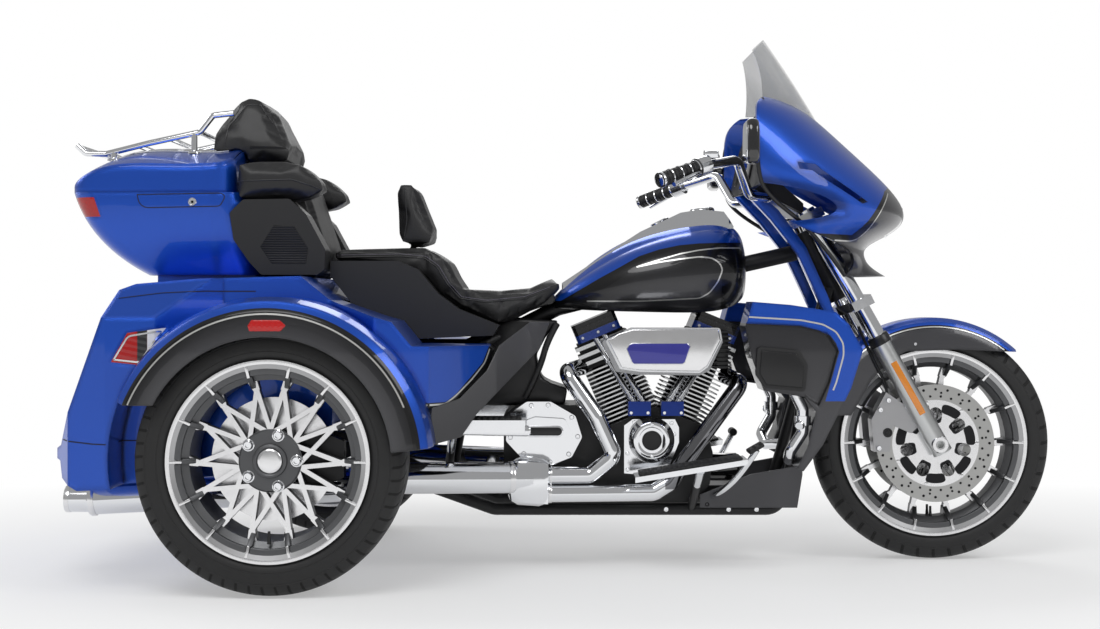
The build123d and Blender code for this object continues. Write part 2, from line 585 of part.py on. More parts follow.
def body_solid(inset):
    """Solid of the rear body with every wall moved in by inset."""
    side = Wire.make_polygon([Vector(x, 700, z) for x, z in body_side], close=True)
    plan = Wire.make_polygon([Vector(x, y, 200) for x, y in body_plan], close=True)
    crown = Wire(FilletPolyline((-1300, -640, 200), (-1300, -640, 640), (-1300, -BODY_HALF_WIDTH - 15, 772),
                                (-1300, BODY_HALF_WIDTH + 15, 772), (-1300, 640, 640), (-1300, 640, 200),
                                radius=45, close=True).edges())
    if inset:
        side = side.offset_2d(-inset, Kind.INTERSECTION)
        plan = plan.offset_2d(-inset, Kind.INTERSECTION)
        crown = crown.offset_2d(-inset)
    solid = Solid.extrude(Face(side), Vector(0, -1400, 0)) & Solid.extrude(Face(plan), Vector(0, 0, 600))
    return solid & Solid.extrude(Face(crown), Vector(800, 0, 0))


def wells(grow):
    """Wheel wells: a deep one beside the tub and a wider one under the fender."""
    pieces = []
    for side in (-1, 1):
        pieces.append(rod((REAR_AXLE_X, side * (TUB_OUTER - grow), REAR_TYRE_RADIUS),
                          (REAR_AXLE_X, side * 800, REAR_TYRE_RADIUS), 2 * (WHEEL_WELL_RADIUS + grow)))
        pieces.append(rod((REAR_AXLE_X, side * (BODY_HALF_WIDTH - grow), REAR_TYRE_RADIUS),
                          (REAR_AXLE_X, side * 800, REAR_TYRE_RADIUS),
                          2 * (FENDER_CREST_RADIUS + FIT + grow)))
    return pieces


body_outer = body_solid(0)
for well in wells(0):
    body_outer = body_outer - well
body_inner = body_solid(PANEL_WALL)
for well in wells(PANEL_WALL):
    body_inner = body_inner - well

# Trunk door on the sloping rear face, hinged along its lower edge
slope_run = (body_side[1][0] - body_side[0][0], body_side[1][1] - body_side[0][1])
slope_length = math.hypot(*slope_run)
slope_up = (slope_run[0] / slope_length, slope_run[1] / slope_length)
slope_in = (slope_up[1], -slope_up[0])


def on_slope(up, inward):
    """Side-view place from a distance up the rear face and a depth into it."""
    return (body_side[0][0] + slope_up[0] * up + slope_in[0] * inward,
            body_side[0][1] + slope_up[1] * up + slope_in[1] * inward)


hinge_up = DOOR_LOW + DOOR_THICKNESS / 2
hinge_x, hinge_z = on_slope(hinge_up, DOOR_THICKNESS / 2)
door_side = [on_slope(hinge_up, 0), on_slope(DOOR_HIGH, 0), on_slope(DOOR_HIGH, DOOR_THICKNESS),
             on_slope(hinge_up, DOOR_THICKNESS)]
ear_inner = DOOR_HALF_WIDTH + PANEL_GAP
ear_outer = ear_inner + HINGE_EAR
door = join([slab(door_side, -DOOR_HALF_WIDTH, DOOR_HALF_WIDTH),
             rod((hinge_x, -DOOR_HALF_WIDTH, hinge_z), (hinge_x, DOOR_HALF_WIDTH, hinge_z), DOOR_THICKNESS),
             rod((hinge_x, -ear_outer, hinge_z), (hinge_x, ear_outer, hinge_z), HINGE_PIN)])
save("trunk_door", [door])
opening_side = [on_slope(DOOR_LOW - PANEL_GAP, -30), on_slope(DOOR_HIGH + PANEL_GAP, -30),
                on_slope(DOOR_HIGH + PANEL_GAP, DOOR_THICKNESS + 4),
                on_slope(DOOR_LOW - PANEL_GAP, DOOR_THICKNESS + 4)]
door_opening = slab(opening_side, -ear_inner, ear_inner)
ear_side = [on_slope(DOOR_LOW - PANEL_GAP, 1), on_slope(DOOR_LOW + 30, 1), on_slope(DOOR_LOW + 30, 26),
            on_slope(DOOR_LOW - PANEL_GAP, 26)]
hinge_bore = rod((hinge_x, -ear_outer - 1, hinge_z), (hinge_x, ear_outer + 1, hinge_z), HINGE_PIN + 2 * FIT)


def muffler_rods(diameter):
    """Straight rods along both mufflers' rear stretch."""
    return [rod((-600, side * MUFFLER_Y, 232), (TIP_END_X - 60, side * MUFFLER_Y, TIP_Z - 3), diameter)
            for side in (-1, 1)]


# Tail lamps let into the rear corners
lamp_side = [(-1105, 562), (-1066, 632), (-977, 644), (-1038, 555)]
lamp_prism = join([slab(lamp_side, LAMP_INNER_Y, 700)])
lamps = [piece & body_outer for piece in across(lamp_prism)]

# Front shoulders of the rear body, swept in towards the seat
shoulder_side = [(-596, 711), (-476, 670), (-434, 658), (-386, 599), (-208, 597), (-191, 585), (-203, 541),
                 (-269, 473), (-293, 456), (-354, 449), (-415, 461), (-520, 520), (-596, 560)]
shoulder_plan = [(-596, 232), (-596, BODY_HALF_WIDTH), (-476, 590), (-345, 575), (-191, 388), (-180, 232)]


def shoulder(inset, inner_y):
    """Solid of one front shoulder with its walls moved in by inset."""
    side_wire = Wire.make_polygon([Vector(x, 0, z) for x, z in shoulder_side], close=True)
    plan_wire = Wire.make_polygon([Vector(x, y, 300) for x, y in shoulder_plan], close=True)
    if inset:
        side_wire = side_wire.offset_2d(-inset, Kind.INTERSECTION)
        plan_wire = plan_wire.offset_2d(-inset, Kind.INTERSECTION)
    block = extrude(Face(side_wire), 800, dir=(0, 1, 0)) & extrude(Face(plan_wire), 600, dir=(0, 0, 1))
    return block


shoulder_shell = shoulder(0, 232)
shoulder_space = shoulder(SHEET_WALL, 232)
shoulder_space = join([shoulder_space, extrude(shoulder_space.faces().sort_by(Axis.Y)[0], SHEET_WALL + 5,
                                               dir=(0, -1, 0))])
shoulder_pieces = []
for piece in across(shoulder_shell - shoulder_space):
    for well in wells(0):
        piece = piece - well
    shoulder_pieces.append(piece.solids().sort_by(SortBy.VOLUME)[-1])
body_shell = body_outer - body_inner
ears = [slab(ear_side, -ear_outer, -ear_inner), slab(ear_side, ear_inner, ear_outer)]
body_parts = [body_shell] + [ear & body_outer for ear in ears]
rear_body = join(body_parts) - door_opening - hinge_bore
for way in muffler_rods(2 * (MUFFLER_RADIUS + RUNNING_GAP)):
    rear_body = rear_body - way
way_shell = []
for outer, inner in zip(muffler_rods(2 * (MUFFLER_RADIUS + RUNNING_GAP + PANEL_WALL)),
                        muffler_rods(2 * (MUFFLER_RADIUS + RUNNING_GAP))):
    way_shell.append((outer - inner) & body_outer)
rear_body = join([rear_body] + way_shell + shoulder_pieces)
for piece in across(lamp_prism):
    rear_body = rear_body - piece
rear_body = rear_body - frame - axle
rear_body = rear_body.solids().sort_by(SortBy.VOLUME)[-1]
save("rear_body", [rear_body])

# Rear fenders: turned arches with a rolled skirt
skirt = FENDER_OUTER_Y
fender_profile = [(BODY_HALF_WIDTH + FIT, FENDER_CREST_RADIUS), (skirt - 66, FENDER_CREST_RADIUS),
                  (skirt - 26, FENDER_CREST_RADIUS - 10), (skirt - 6, FENDER_CREST_RADIUS - 34),
                  (skirt, FENDER_CREST_RADIUS - 60), (skirt, FENDER_LIP_RADIUS),
                  (skirt - PANEL_WALL, FENDER_LIP_RADIUS), (skirt - PANEL_WALL, FENDER_CREST_RADIUS - 60),
                  (skirt - 10, FENDER_CREST_RADIUS - 36), (skirt - 28, FENDER_CREST_RADIUS - 14),
                  (skirt - 67, FENDER_CREST_RADIUS - PANEL_WALL),
                  (BODY_HALF_WIDTH + FIT, FENDER_CREST_RADIUS - PANEL_WALL)]
fender = wheel_ring(REAR_AXLE_X, REAR_TYRE_RADIUS, fender_profile, FENDER_TURN, -FENDER_BACK)
fender = fender - box(-1200, -900, 0, 800, 200, FENDER_TAIL_Z)
fender = fender.solids().sort_by(SortBy.VOLUME)[-1]
fenders = [piece - rear_body for piece in across(fender)]
save("rear_fenders", [piece.solids().sort_by(SortBy.VOLUME)[-1] for piece in fenders])

# Lower side covers ahead of the rear wheels
cover_side = [(-50, 654), (-77, 585), (-232, 428), (-270, 372), (-342, 358), (-337, 449), (-273, 468),
              (-209, 534), (-179, 596), (-103, 654)]
cover_plan = [(-350, 582), (-350, 556), (-60, 196), (-36, 196), (-36, 222), (-185, 400)]
side_cover = slab(cover_side, 0, 700) & plan_slab(cover_plan, 300, 700)
covers = [(piece - rear_body - fenders[0] - fenders[1]).solids().sort_by(SortBy.VOLUME)[-1]
          for piece in across(side_cover)]
save("side_covers", covers)

# Seat, its valance and the rider's backrest
seat_side = [(-637, 819), (-637, 840), (-451, 846), (-370, 846), (-330, 824), (-304, 768), (-282, 735),
             (-184, 731), (-103, 739), (-50, 763), (-23, 771), (-18, 752), (-60, 712), (-184, 645), (-290, 688),
             (-344, 728), (-397, 792), (-451, 815)]
seat_plan = [(-640, -SEAT_HALF_WIDTH), (-380, -SEAT_HALF_WIDTH), (-260, -SEAT_HALF_WIDTH - 12), (-120, -120),
             (-15, -70), (-15, 70), (-120, 120), (-260, SEAT_HALF_WIDTH + 12), (-380, SEAT_HALF_WIDTH),
             (-640, SEAT_HALF_WIDTH)]
seat = slab(seat_side, -300, 300) & plan_slab(seat_plan, 600, 900, 30)
seat = (seat - tank_form - console).solids().sort_by(SortBy.VOLUME)[-1]
save("seat", [seat])
valance_side = [(-629, 815), (-451, 815), (-397, 792), (-344, 728), (-290, 688), (-184, 645), (-200, 618),
                (-392, 610), (-524, 640), (-629, 775)]
valance = slab(valance_side, -VALANCE_HALF_WIDTH, VALANCE_HALF_WIDTH)
valance = (valance - seat - frame - rear_body).solids().sort_by(SortBy.VOLUME)[-1]
save("seat_valance", [valance])
rest_side = [(-462, 1030), (-422, 1030), (-365, 887), (-373, 864), (-454, 864)]
rest = join([slab(rest_side, -BACKREST_HALF_WIDTH, BACKREST_HALF_WIDTH, 9),
             box(-436, -420, -22, 22, 847, 880)])
save("rider_backrest", [rest - seat])

# Tour pack: tapered tub with a hinged lid
pack_levels = [(777, -1112, -808, 250), (850, -1212, -822, 282), (PACK_SEAM_Z, PACK_REAR_X, -850, PACK_HALF_WIDTH)]
tub_outer = Solid.make_loft([rounded_level(z, x0, x1, half, PACK_CORNER_RADIUS)
                             for z, x0, x1, half in pack_levels])
tub_inner = Solid.make_loft([rounded_level(z + rise, x0 + PANEL_WALL, PACK_FRONT_X - PANEL_WALL,
                                           half - PANEL_WALL, PACK_CORNER_RADIUS - PANEL_WALL)
                             for (z, x0, x1, half), rise in zip(pack_levels, (PANEL_WALL, 0, 1))])
pack_hinge_y = PACK_HALF_WIDTH + 9
pack_foot = box(-1090, -830, -200, 200, 730, 779) - body_outer
pack_lamp_side = [(-1340, 978), (-1232, 978), (-1216, 928), (-1340, 928)]
pack_lamp_prisms = across(slab(pack_lamp_side, 200, 340))
pack_lamps = [((prism & tub_outer) - tub_inner).solids().sort_by(SortBy.VOLUME)[-1] for prism in pack_lamp_prisms]
tub_shell = tub_outer - tub_inner - pack_lamp_prisms[0] - pack_lamp_prisms[1]
tub = join([tub_shell, pack_foot.solids().sort_by(SortBy.VOLUME)[-1]])
hinge_parts = []
for x0, x1 in ((-1210, -1180), (-980, -950)):
    hinge_parts.append(join([rod((x0, pack_hinge_y, PACK_SEAM_Z), (x1, pack_hinge_y, PACK_SEAM_Z), 14),
                             box(x0, x1, PACK_HALF_WIDTH - 3, pack_hinge_y, PACK_SEAM_Z - 12, PACK_SEAM_Z - 2)]))
hinge_parts.append(rod((-1205, pack_hinge_y, PACK_SEAM_Z), (-955, pack_hinge_y, PACK_SEAM_Z), HINGE_PIN - 1))
tub = join([tub] + hinge_parts)
save("tour_pack_base", [tub])

# Lid, crowned from side to side, with knuckles on the tub's hinge pin
lid_z = PACK_SEAM_Z + FIT
# Columns: x, edge z, crown z
lid_rows = [(PACK_REAR_X, 1000, 1030), (-1256, 1034, 1074), (-1205, 1053, 1104), (-1040, 1059, 1124),
            (PACK_FRONT_X, 1064, 1130)]


def lid_section(x, edge_z, crown_z, inset):
    """Lid section across the trike, wider than the lid, with a crowned top."""
    half = PACK_HALF_WIDTH + LID_OVERLAP
    a, b = Vector(x, half, lid_z - inset), Vector(x, -half, lid_z - inset)
    c, d = Vector(x, -half, edge_z - inset), Vector(x, half, edge_z - inset)
    top = Edge.make_three_point_arc(c, Vector(x, 0, crown_z - inset), d)
    return Wire([Edge.make_line(a, b), Edge.make_line(b, c), top, Edge.make_line(d, a)])


def lid_form(inset):
    """Solid of the lid trimmed to its plan, with its walls moved in by inset."""
    form = Solid.make_loft([lid_section(*row, inset) for row in lid_rows])
    plan = rounded_level(lid_z - inset, PACK_REAR_X + inset, PACK_FRONT_X - inset, PACK_HALF_WIDTH - inset,
                         PACK_CORNER_RADIUS - inset)
    return (form & Solid.extrude(Face(plan), Vector(0, 0, 200))).solids()[0]


lid_outer = lid_form(0)
lid_outer = fillet(lid_outer.faces().sort_by(Axis.Z)[-1].edges(), LID_EDGE_RADIUS).solids()[0]
lid_inner = lid_form(PANEL_WALL)
lid_pieces = [lid_outer - lid_inner]
for x0, x1 in ((-1178, -1100), (-1060, -982)):
    knuckle = rod((x0, pack_hinge_y, PACK_SEAM_Z), (x1, pack_hinge_y, PACK_SEAM_Z), 14)
    leaf = box(x0, x1, PACK_HALF_WIDTH - 3, pack_hinge_y, PACK_SEAM_Z + 2, PACK_SEAM_Z + 5)
    lid_pieces.extend([knuckle, leaf])
lid = join(lid_pieces) - rod((-1300, pack_hinge_y, PACK_SEAM_Z), (-800, pack_hinge_y, PACK_SEAM_Z),
                             HINGE_PIN - 1 + 2 * FIT)
save("tour_pack_lid", [lid])

# Luggage rack on the lid
rack_pieces = []
rack_rail = [(-895, RACK_Y, 1211), (-950, RACK_Y, 1205), (-985, RACK_Y, 1160), (-1120, RACK_Y, 1131),
             (-1235, RACK_Y, 1102), (-1290, RACK_Y, 1103), (-1313, RACK_Y, 1125)]
for piece in across(tube(rack_rail, RACK_DIAMETER, 16)):
    rack_pieces.append(piece)
for cross_x, cross_z in ((-985, 1160), (-1065, 1143), (-1150, 1124), (-1235, 1103), (-1308, 1120)):
    rack_pieces.append(rod((cross_x, -RACK_Y, cross_z), (cross_x, RACK_Y, cross_z), RACK_DIAMETER - 2))
for foot_x, foot_z in ((-1215, 1106), (-1000, 1156)):
    for side in (-1, 1):
        rack_pieces.append(rod((foot_x, side * RACK_Y, 1040), (foot_x, side * RACK_Y, foot_z), RACK_DIAMETER))
rack = join(rack_pieces) - lid_outer - lid_inner
rack = rack.solids().sort_by(SortBy.VOLUME)[-1]
save("luggage_rack", [rack])

# Passenger backrest on the lid, with its back cushion, armrests and speaker pods fixed beside it
pad_side = [(-752, 1082), (-745, 1108), (-799, 1225), (-840, 1262), (-868, 1267), (-892, 1255), (-955, 1158),
            (-958, 1100), (-866, 1100), (-866, 1082)]
pad_front = [(-150, 1070), (-150, 1120), (-95, 1275), (95, 1275), (150, 1120), (150, 1070)]
pad_wire = Wire(FilletPolyline(*[(-1100, y, z) for y, z in pad_front], radius=24, close=True).edges())
pad = slab(pad_side, -160, 160) & Solid.extrude(Face(pad_wire), Vector(600, 0, 0))
pad = (pad - lid_outer - lid_inner).solids().sort_by(SortBy.VOLUME)[-1]
save("passenger_backrest", [pad])
cushion_side = [(-838, 774), (-652, 774), (-652, 850), (-700, 1000), (-725, 1058), (-838, 1058)]
cushion = slab(cushion_side, -CUSHION_HALF_WIDTH, CUSHION_HALF_WIDTH, 12)
cushion = cushion - tub_outer - tub - body_outer - seat
cushion = cushion.solids().sort_by(SortBy.VOLUME)[-1] - valance
pod_side = [(-845, 972), (-725, 974), (-681, 933), (-632, 842), (-634, 790), (-653, 777), (-798, 777),
            (-829, 810), (-870, 868), (-880, 938)]
pods = [(piece - tub_outer - body_outer).solids().sort_by(SortBy.VOLUME)[-1]
        for piece in across(slab(pod_side, CUSHION_HALF_WIDTH + 4, PACK_HALF_WIDTH + 4, 12))]
arm_side = [(-862, 1068), (-699, 1068), (-642, 1023), (-632, 997), (-673, 974), (-862, 974)]
arms = [(piece - pods[0] - pods[1] - tub).solids().sort_by(SortBy.VOLUME)[-1]
        for piece in across(slab(arm_side, CUSHION_HALF_WIDTH + 4, PACK_HALF_WIDTH, 10))]
save("passenger_cushions", [cushion] + arms)

save("rear_lamps", lamps + pack_lamps)

# Fork: stem, two clamps, legs, sliders and axle
low_plane = leaning(CLAMP_LOW_Z)
high_plane = leaning(CLAMP_HIGH_Z)
fork_pieces = [rod(low_plane.origin, high_plane.origin, STEM_DIAMETER)]
clamp_half = FORK_SPREAD + SLIDER_DIAMETER / 2 + 5
# Columns: plane, rear of the middle, rear at the legs, front
for plane, rear, leg_rear, front in ((low_plane, -24, 2, 60), (high_plane, -34, -34, 44)):
    outline = [(rear, -28), (leg_rear, -FORK_SPREAD + 20), (leg_rear, -clamp_half), (front, -clamp_half),
               (front, clamp_half), (leg_rear, clamp_half), (leg_rear, FORK_SPREAD - 20), (rear, 28)]
    corners = [plane.from_local_coords(Vector(x, y, -CLAMP_THICKNESS / 2)) for x, y in outline]
    clamp = Solid.extrude(Face(Wire.make_polygon(corners, close=True)), plane.z_dir * CLAMP_THICKNESS)
    fork_pieces.append(clamp)
for side in (-1, 1):
    leg_y = side * FORK_SPREAD
    fork_pieces.append(rod((leg_x(LEG_TOP_Z), leg_y, LEG_TOP_Z), (leg_x(SLIDER_TOP_Z), leg_y, SLIDER_TOP_Z), 46))
    fork_pieces.append(rod((leg_x(SLIDER_TOP_Z), leg_y, SLIDER_TOP_Z), (leg_x(300), leg_y, 300), SLIDER_DIAMETER))
axle_end_y = FORK_SPREAD + SLIDER_DIAMETER / 2 + 3
fork_pieces.append(rod((FRONT_AXLE_X, -axle_end_y, FRONT_TYRE_RADIUS), (FRONT_AXLE_X, axle_end_y, FRONT_TYRE_RADIUS),
                       FRONT_AXLE_DIAMETER))
fork = join(fork_pieces)
for side in (-1, 1):
    fork = fork - rod((FRONT_AXLE_X, side * (axle_end_y - AXLE_BORE_DEPTH), FRONT_TYRE_RADIUS),
                      (FRONT_AXLE_X, side * (axle_end_y + 1), FRONT_TYRE_RADIUS), AXLE_BORE_DIAMETER)
save("fork", [fork])

# Handlebar route, from its middle to the right grip's end
bar_path = [(540, -120, 990), (480, -186, 990), (440, -262, 1078), (345, -372, 1054), (228, -452, 1012)]
bar_route = [(x, -y, z) for x, y, z in reversed(bar_path)] + bar_path
bar_room = tube(bar_route, BAR_DIAMETER + 4, 40)

# Covers behind the fork legs
cover_line = [(474, 1004), (505, 1010), (566, 955), (640, 856), (700, 722), (728, 650), (708, 642), (678, 705),
              (616, 838), (545, 928)]
fork_covers = [(piece - fork - bar_room).solids().sort_by(SortBy.VOLUME)[-1]
               for piece in across(slab(cover_line, FORK_SPREAD - 14, FORK_SPREAD + 14))]
save("fork_covers", fork_covers)

# Front fender: turned hoop trimmed by its side outline
half = FENDER_HALF_WIDTH
hoop = [(-half, 215), (-half, 305), (-half + 14, 330), (-half + 36, FRONT_FENDER_RADIUS),
        (half - 36, FRONT_FENDER_RADIUS), (half - 14, 330), (half, 305), (half, 215),
        (half - PANEL_WALL, 215), (half - PANEL_WALL, 304), (half - 17, 327),
        (half - 38, FRONT_FENDER_RADIUS - PANEL_WALL), (-half + 38, FRONT_FENDER_RADIUS - PANEL_WALL),
        (-half + 17, 327), (-half + PANEL_WALL, 304), (-half + PANEL_WALL, 215)]
fender_trim = [(771, 397), (826, 493), (875, 548), (922, 572), (1059, 577), (1228, 570), (1260, 700), (640, 700),
               (640, 397)]
front_fender = wheel_ring(FRONT_AXLE_X, FRONT_TYRE_RADIUS, hoop, 125, -80) & slab(fender_trim, -120, 120)
brace = rod((leg_x(500), -FORK_SPREAD, 500), (leg_x(500), -half + 1, 500), 16)
brace = join([brace, box(leg_x(500) - 14, leg_x(500) + 14, -half - 3, -half + 1, 486, 514)])
front_fender = join([front_fender, brace, brace.mirror(Plane.XZ)]) - fork
front_fender = front_fender.solids().sort_by(SortBy.VOLUME)[-1]
save("front_fender", [front_fender])

# Batwing fairing: level sections with rounded noses, open at the back
# Columns: z, back x, half width, nose x
fairing_rows = [(777, 742, 152, 876), (885, 640, 300, 872), (985, 492, 388, 905), (1100, 474, 405, 792),
                (1176, 474, 392, 707), (1240, 505, 290, 604)]
fairing_outer = Solid.make_loft([d_section(*row) for row in fairing_rows])
fairing_inner = Solid.make_loft([d_section(z + dz, back - 60, half_width - SHEET_WALL, nose - SHEET_WALL)
                                 for (z, back, half_width, nose), dz in
                                 zip(fairing_rows, (-1, 0, 0, 0, 0, 1))])
fairing_shell = fairing_outer - fairing_inner
lens_prism = Solid.extrude(Face(Wire(FilletPolyline((600, -125, 885), (600, 125, 885), (600, 125, 965),
                                                    (600, -125, 965), radius=36, close=True).edges())),
                           Vector(500, 0, 0))
headlamp = (fairing_outer & lens_prism) - fairing_outer.moved(Location((-LENS_DEPTH, 0, 0)))
headlamp = headlamp.solids().sort_by(SortBy.VOLUME)[-1]
save("headlamp", [headlamp])
vent_side = [(585, 1046), (619, 1043), (650, 1023), (758, 961), (774, 966), (758, 976), (650, 1043), (629, 1059),
             (580, 1064)]
fairing = fairing_shell - lens_prism
for vent in across(slab(vent_side, 150, 420)):
    fairing = fairing - vent
fairing = fairing.solids().sort_by(SortBy.VOLUME)[-1]
save("fairing", [fairing])

# Inner panel of the fairing, facing the rider, carried on the upper clamp
dash_side = [(488, 1012), (502, 1012), (548, 1236), (534, 1236)]
dash_form = Solid.make_loft([d_section(z, back - 60, half_width - SHEET_WALL - FIT, nose - SHEET_WALL - FIT)
                             for z, back, half_width, nose in fairing_rows])
dash = slab(dash_side, -400, 400) & dash_form
dash_arms = slab([(495, 1020), (510, 1092), (640, 975), (640, 948)], 62, 82)
dash = join([dash] + across(dash_arms)) - fork - bar_room
dash = dash.solids().sort_by(SortBy.VOLUME)[-1]
save("fairing_dash", [dash])

# Windshield: one curved sheet standing on the fairing
def screen_section(edge_x, edge_y, edge_z, mid_x, mid_z, wall):
    """Closed strip across the screen: outer arc, inner arc and two short ends."""
    back = Vector(-wall, 0, 0)
    left, right = Vector(edge_x, edge_y, edge_z), Vector(edge_x, -edge_y, edge_z)
    middle = Vector(mid_x, 0, mid_z)
    along = Vector(mid_x - edge_x, 0, mid_z - edge_z).normalized() * -wall
    return Wire([Edge.make_three_point_arc(left, middle, right), Edge.make_line(right, right + along),
                 Edge.make_three_point_arc(right + along, middle + along, left + along),
                 Edge.make_line(left + along, left)])


screen_rows = [(518, 196, 1222, 706, 1165), (520, 170, 1290, 650, 1262), (500, 112, 1392, 540, 1431)]
screen = Solid.make_loft([screen_section(*row, SCREEN_THICKNESS) for row in screen_rows])
screen = (screen - fairing_outer - dash).solids().sort_by(SortBy.VOLUME)[-1]
save("windshield", [screen])

# Handlebar on risers, with grips, levers and switch housings
riser = slab([(524, 985), (536, 1004), (640, 960), (640, 930), (600, 935)], 34, 58)
handlebar = join([tube(bar_route, BAR_DIAMETER, 40)] + across(riser)) - fork
handlebar = handlebar.solids().sort_by(SortBy.VOLUME)[-1]
save("handlebar", [handlebar])
grip_end = Vector(*bar_path[-1])
grip_start = Vector(*bar_path[-2])
grip_way = (grip_end - grip_start).normalized()
grip_from = grip_end - grip_way * GRIP_LENGTH
grip = rod(grip_from, (grip_end + grip_way * 6), GRIP_DIAMETER)
housing = rod((grip_from - grip_way * 34), grip_from, GRIP_DIAMETER + 12)
lever_root = grip_from - grip_way * 20 + Vector(24, 6, 2)
lever = rod(lever_root, (grip_end + Vector(30, -28, -14)), 11)
lever_block = rod((grip_from - grip_way * 20), lever_root, 22)
controls = join([grip, housing, lever_block, lever])
bar_way = rod((grip_start - grip_way * 40), grip_end, BAR_DIAMETER + 2 * FIT)
controls = [piece - handlebar for piece in across(controls - bar_way)]
save("hand_controls", [piece.solids().sort_by(SortBy.VOLUME)[-1] for piece in controls])

# Mirrors on the fairing's rear edge
mirror_head = plan_slab([(434, 412), (448, 408), (468, 420), (468, 512), (456, 524), (434, 520)], 1045, 1165, 5)
mirror_stem = box(456, 474 - FIT, 396, 416, 1095, 1115)
save("mirrors", across(join([mirror_head, mirror_stem])))

# Front calipers behind the legs
caliper_side = [(822, 388), (862, 462), (905, 432), (880, 372), (872, 300), (830, 300)]
caliper = slab(caliper_side, disc_outer_y - 34, disc_outer_y + 18)
disc_slot = rod((FRONT_AXLE_X, disc_inner_y - 5, FRONT_TYRE_RADIUS), (FRONT_AXLE_X, disc_outer_y + 5, FRONT_TYRE_RADIUS),
                2 * (FRONT_DISC_RADIUS + 5))
lug = slab([(880, 372), (905, 432), (940, 440), (960, 380), (930, 350)], disc_outer_y + 6, disc_outer_y + 18)
calipers = [(piece - fork).solids().sort_by(SortBy.VOLUME)[-1] for piece in across(join([caliper - disc_slot, lug]))]
save("front_calipers", calipers)

# Lower fairings: a leg shield each side with a recessed panel
shield_side = [(470, 707), (568, 699), (683, 681), (716, 650), (753, 583), (722, 485), (700, 440), (650, 340),
               (600, 272), (584, 280), (612, 335), (632, 425), (604, 462), (500, 478), (470, 560), (452, 642)]
recess_side = [(456, 655), (593, 647), (662, 628), (690, 583), (668, 500), (640, 440), (604, 462), (500, 478),
               (465, 560), (440, 642)]
shield = slab(shield_side, SHIELD_INNER_Y, SHIELD_OUTER_Y)
side_wire = Wire.make_polygon([Vector(x, SHIELD_INNER_Y - 1, z) for x, z in shield_side], close=True)
shield_space = extrude(Face(side_wire.offset_2d(-PANEL_WALL, Kind.INTERSECTION)),
                       SHIELD_OUTER_Y - SHIELD_INNER_Y + 1 - RECESS - SHEET_WALL, dir=(0, 1, 0))
recess = slab(recess_side, SHIELD_OUTER_Y - RECESS, SHIELD_OUTER_Y + 1)
guard_path = [(612, RAIL_Y - 12, 305), (578, 235, 292), (572, 300, 318), (604, 308, 370), (604, 308, 430),
              (560, 308, 520), (560, 250, 560), (600, 130, 500), (648, 53, 470)]
guard_hole = tube(guard_path, GUARD_DIAMETER + 2 * FIT, 22)
shield = (shield - shield_space - recess - guard_hole).solids().sort_by(SortBy.VOLUME)[-1]
save("lower_fairings", across(shield))
pod_outline = [(482, 592), (590, 582), (611, 545), (604, 476), (500, 486), (478, 520)]
shield_pods = across(slab(pod_outline, SHIELD_OUTER_Y - RECESS, SHIELD_OUTER_Y + 4, 10))
save("speaker_pods", pods + shield_pods)

# Engine guard loops that carry the shields
guards = [(piece - frame).solids().sort_by(SortBy.VOLUME)[-1] for piece in across(tube(guard_path, GUARD_DIAMETER, 22))]
save("engine_guard", guards)

# Chin spoiler in front of the cradle
chin_side = [(352, 154), (352, 189), (486, 243), (628, 269), (628, 243), (614, 154)]
chin = slab(chin_side, -CHIN_HALF_WIDTH, CHIN_HALF_WIDTH)
chin_space = slab([(300, 100), (300, 300), (630 - CHIN_WALL, 300), (616 - CHIN_WALL, 100)],
                  -CHIN_HALF_WIDTH + CHIN_WALL, CHIN_HALF_WIDTH - CHIN_WALL)
save("chin_spoiler", [(chin - chin_space).solids().sort_by(SortBy.VOLUME)[-1]])

# Footboards on their brackets
rider_board = slab([(168, 244), (454, 290), (456, 304), (168, 258)], BOARD_INNER_Y, BOARD_OUTER_Y)
rider_arm = rod((330, RAIL_Y, RAIL_Z), (340, 300, 268), 22)
passenger_board = slab([(-362, 371), (-114, 371), (-114, 404), (-362, 404)], BOARD_INNER_Y + 6, BOARD_OUTER_Y)
passenger_arm = rod((-330, RAIL_Y, 192), (-300, 300, 385), 22)
boards = []
for board, arm in ((rider_board, rider_arm), (passenger_board, passenger_arm)):
    for piece in across(join([board, arm])):
        boards.append((piece - frame - exhaust).solids().sort_by(SortBy.VOLUME)[-1])
save("footboards", boards)
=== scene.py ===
import math

import bpy
from mathutils import Matrix, Vector


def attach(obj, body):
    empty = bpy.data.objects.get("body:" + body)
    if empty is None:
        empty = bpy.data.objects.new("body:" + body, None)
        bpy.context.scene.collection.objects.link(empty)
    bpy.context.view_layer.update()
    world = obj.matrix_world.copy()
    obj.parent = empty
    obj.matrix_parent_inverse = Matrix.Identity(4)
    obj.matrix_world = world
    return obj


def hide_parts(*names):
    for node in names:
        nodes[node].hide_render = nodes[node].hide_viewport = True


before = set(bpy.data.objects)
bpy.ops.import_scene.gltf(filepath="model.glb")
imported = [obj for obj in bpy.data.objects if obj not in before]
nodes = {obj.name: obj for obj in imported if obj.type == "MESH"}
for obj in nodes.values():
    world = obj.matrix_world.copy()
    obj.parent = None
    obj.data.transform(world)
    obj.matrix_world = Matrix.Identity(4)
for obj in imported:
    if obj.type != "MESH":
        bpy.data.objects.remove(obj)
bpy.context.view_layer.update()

# small tools for modelling

def clearChoice():
    if bpy.context.object and bpy.context.object.mode != "OBJECT":
        bpy.ops.object.mode_set(mode="OBJECT")
    bpy.ops.object.select_all(action="DESELECT")


def hold(piece):  # the only chosen and active object
    clearChoice()
    piece.select_set(True)
    bpy.context.view_layer.objects.active = piece


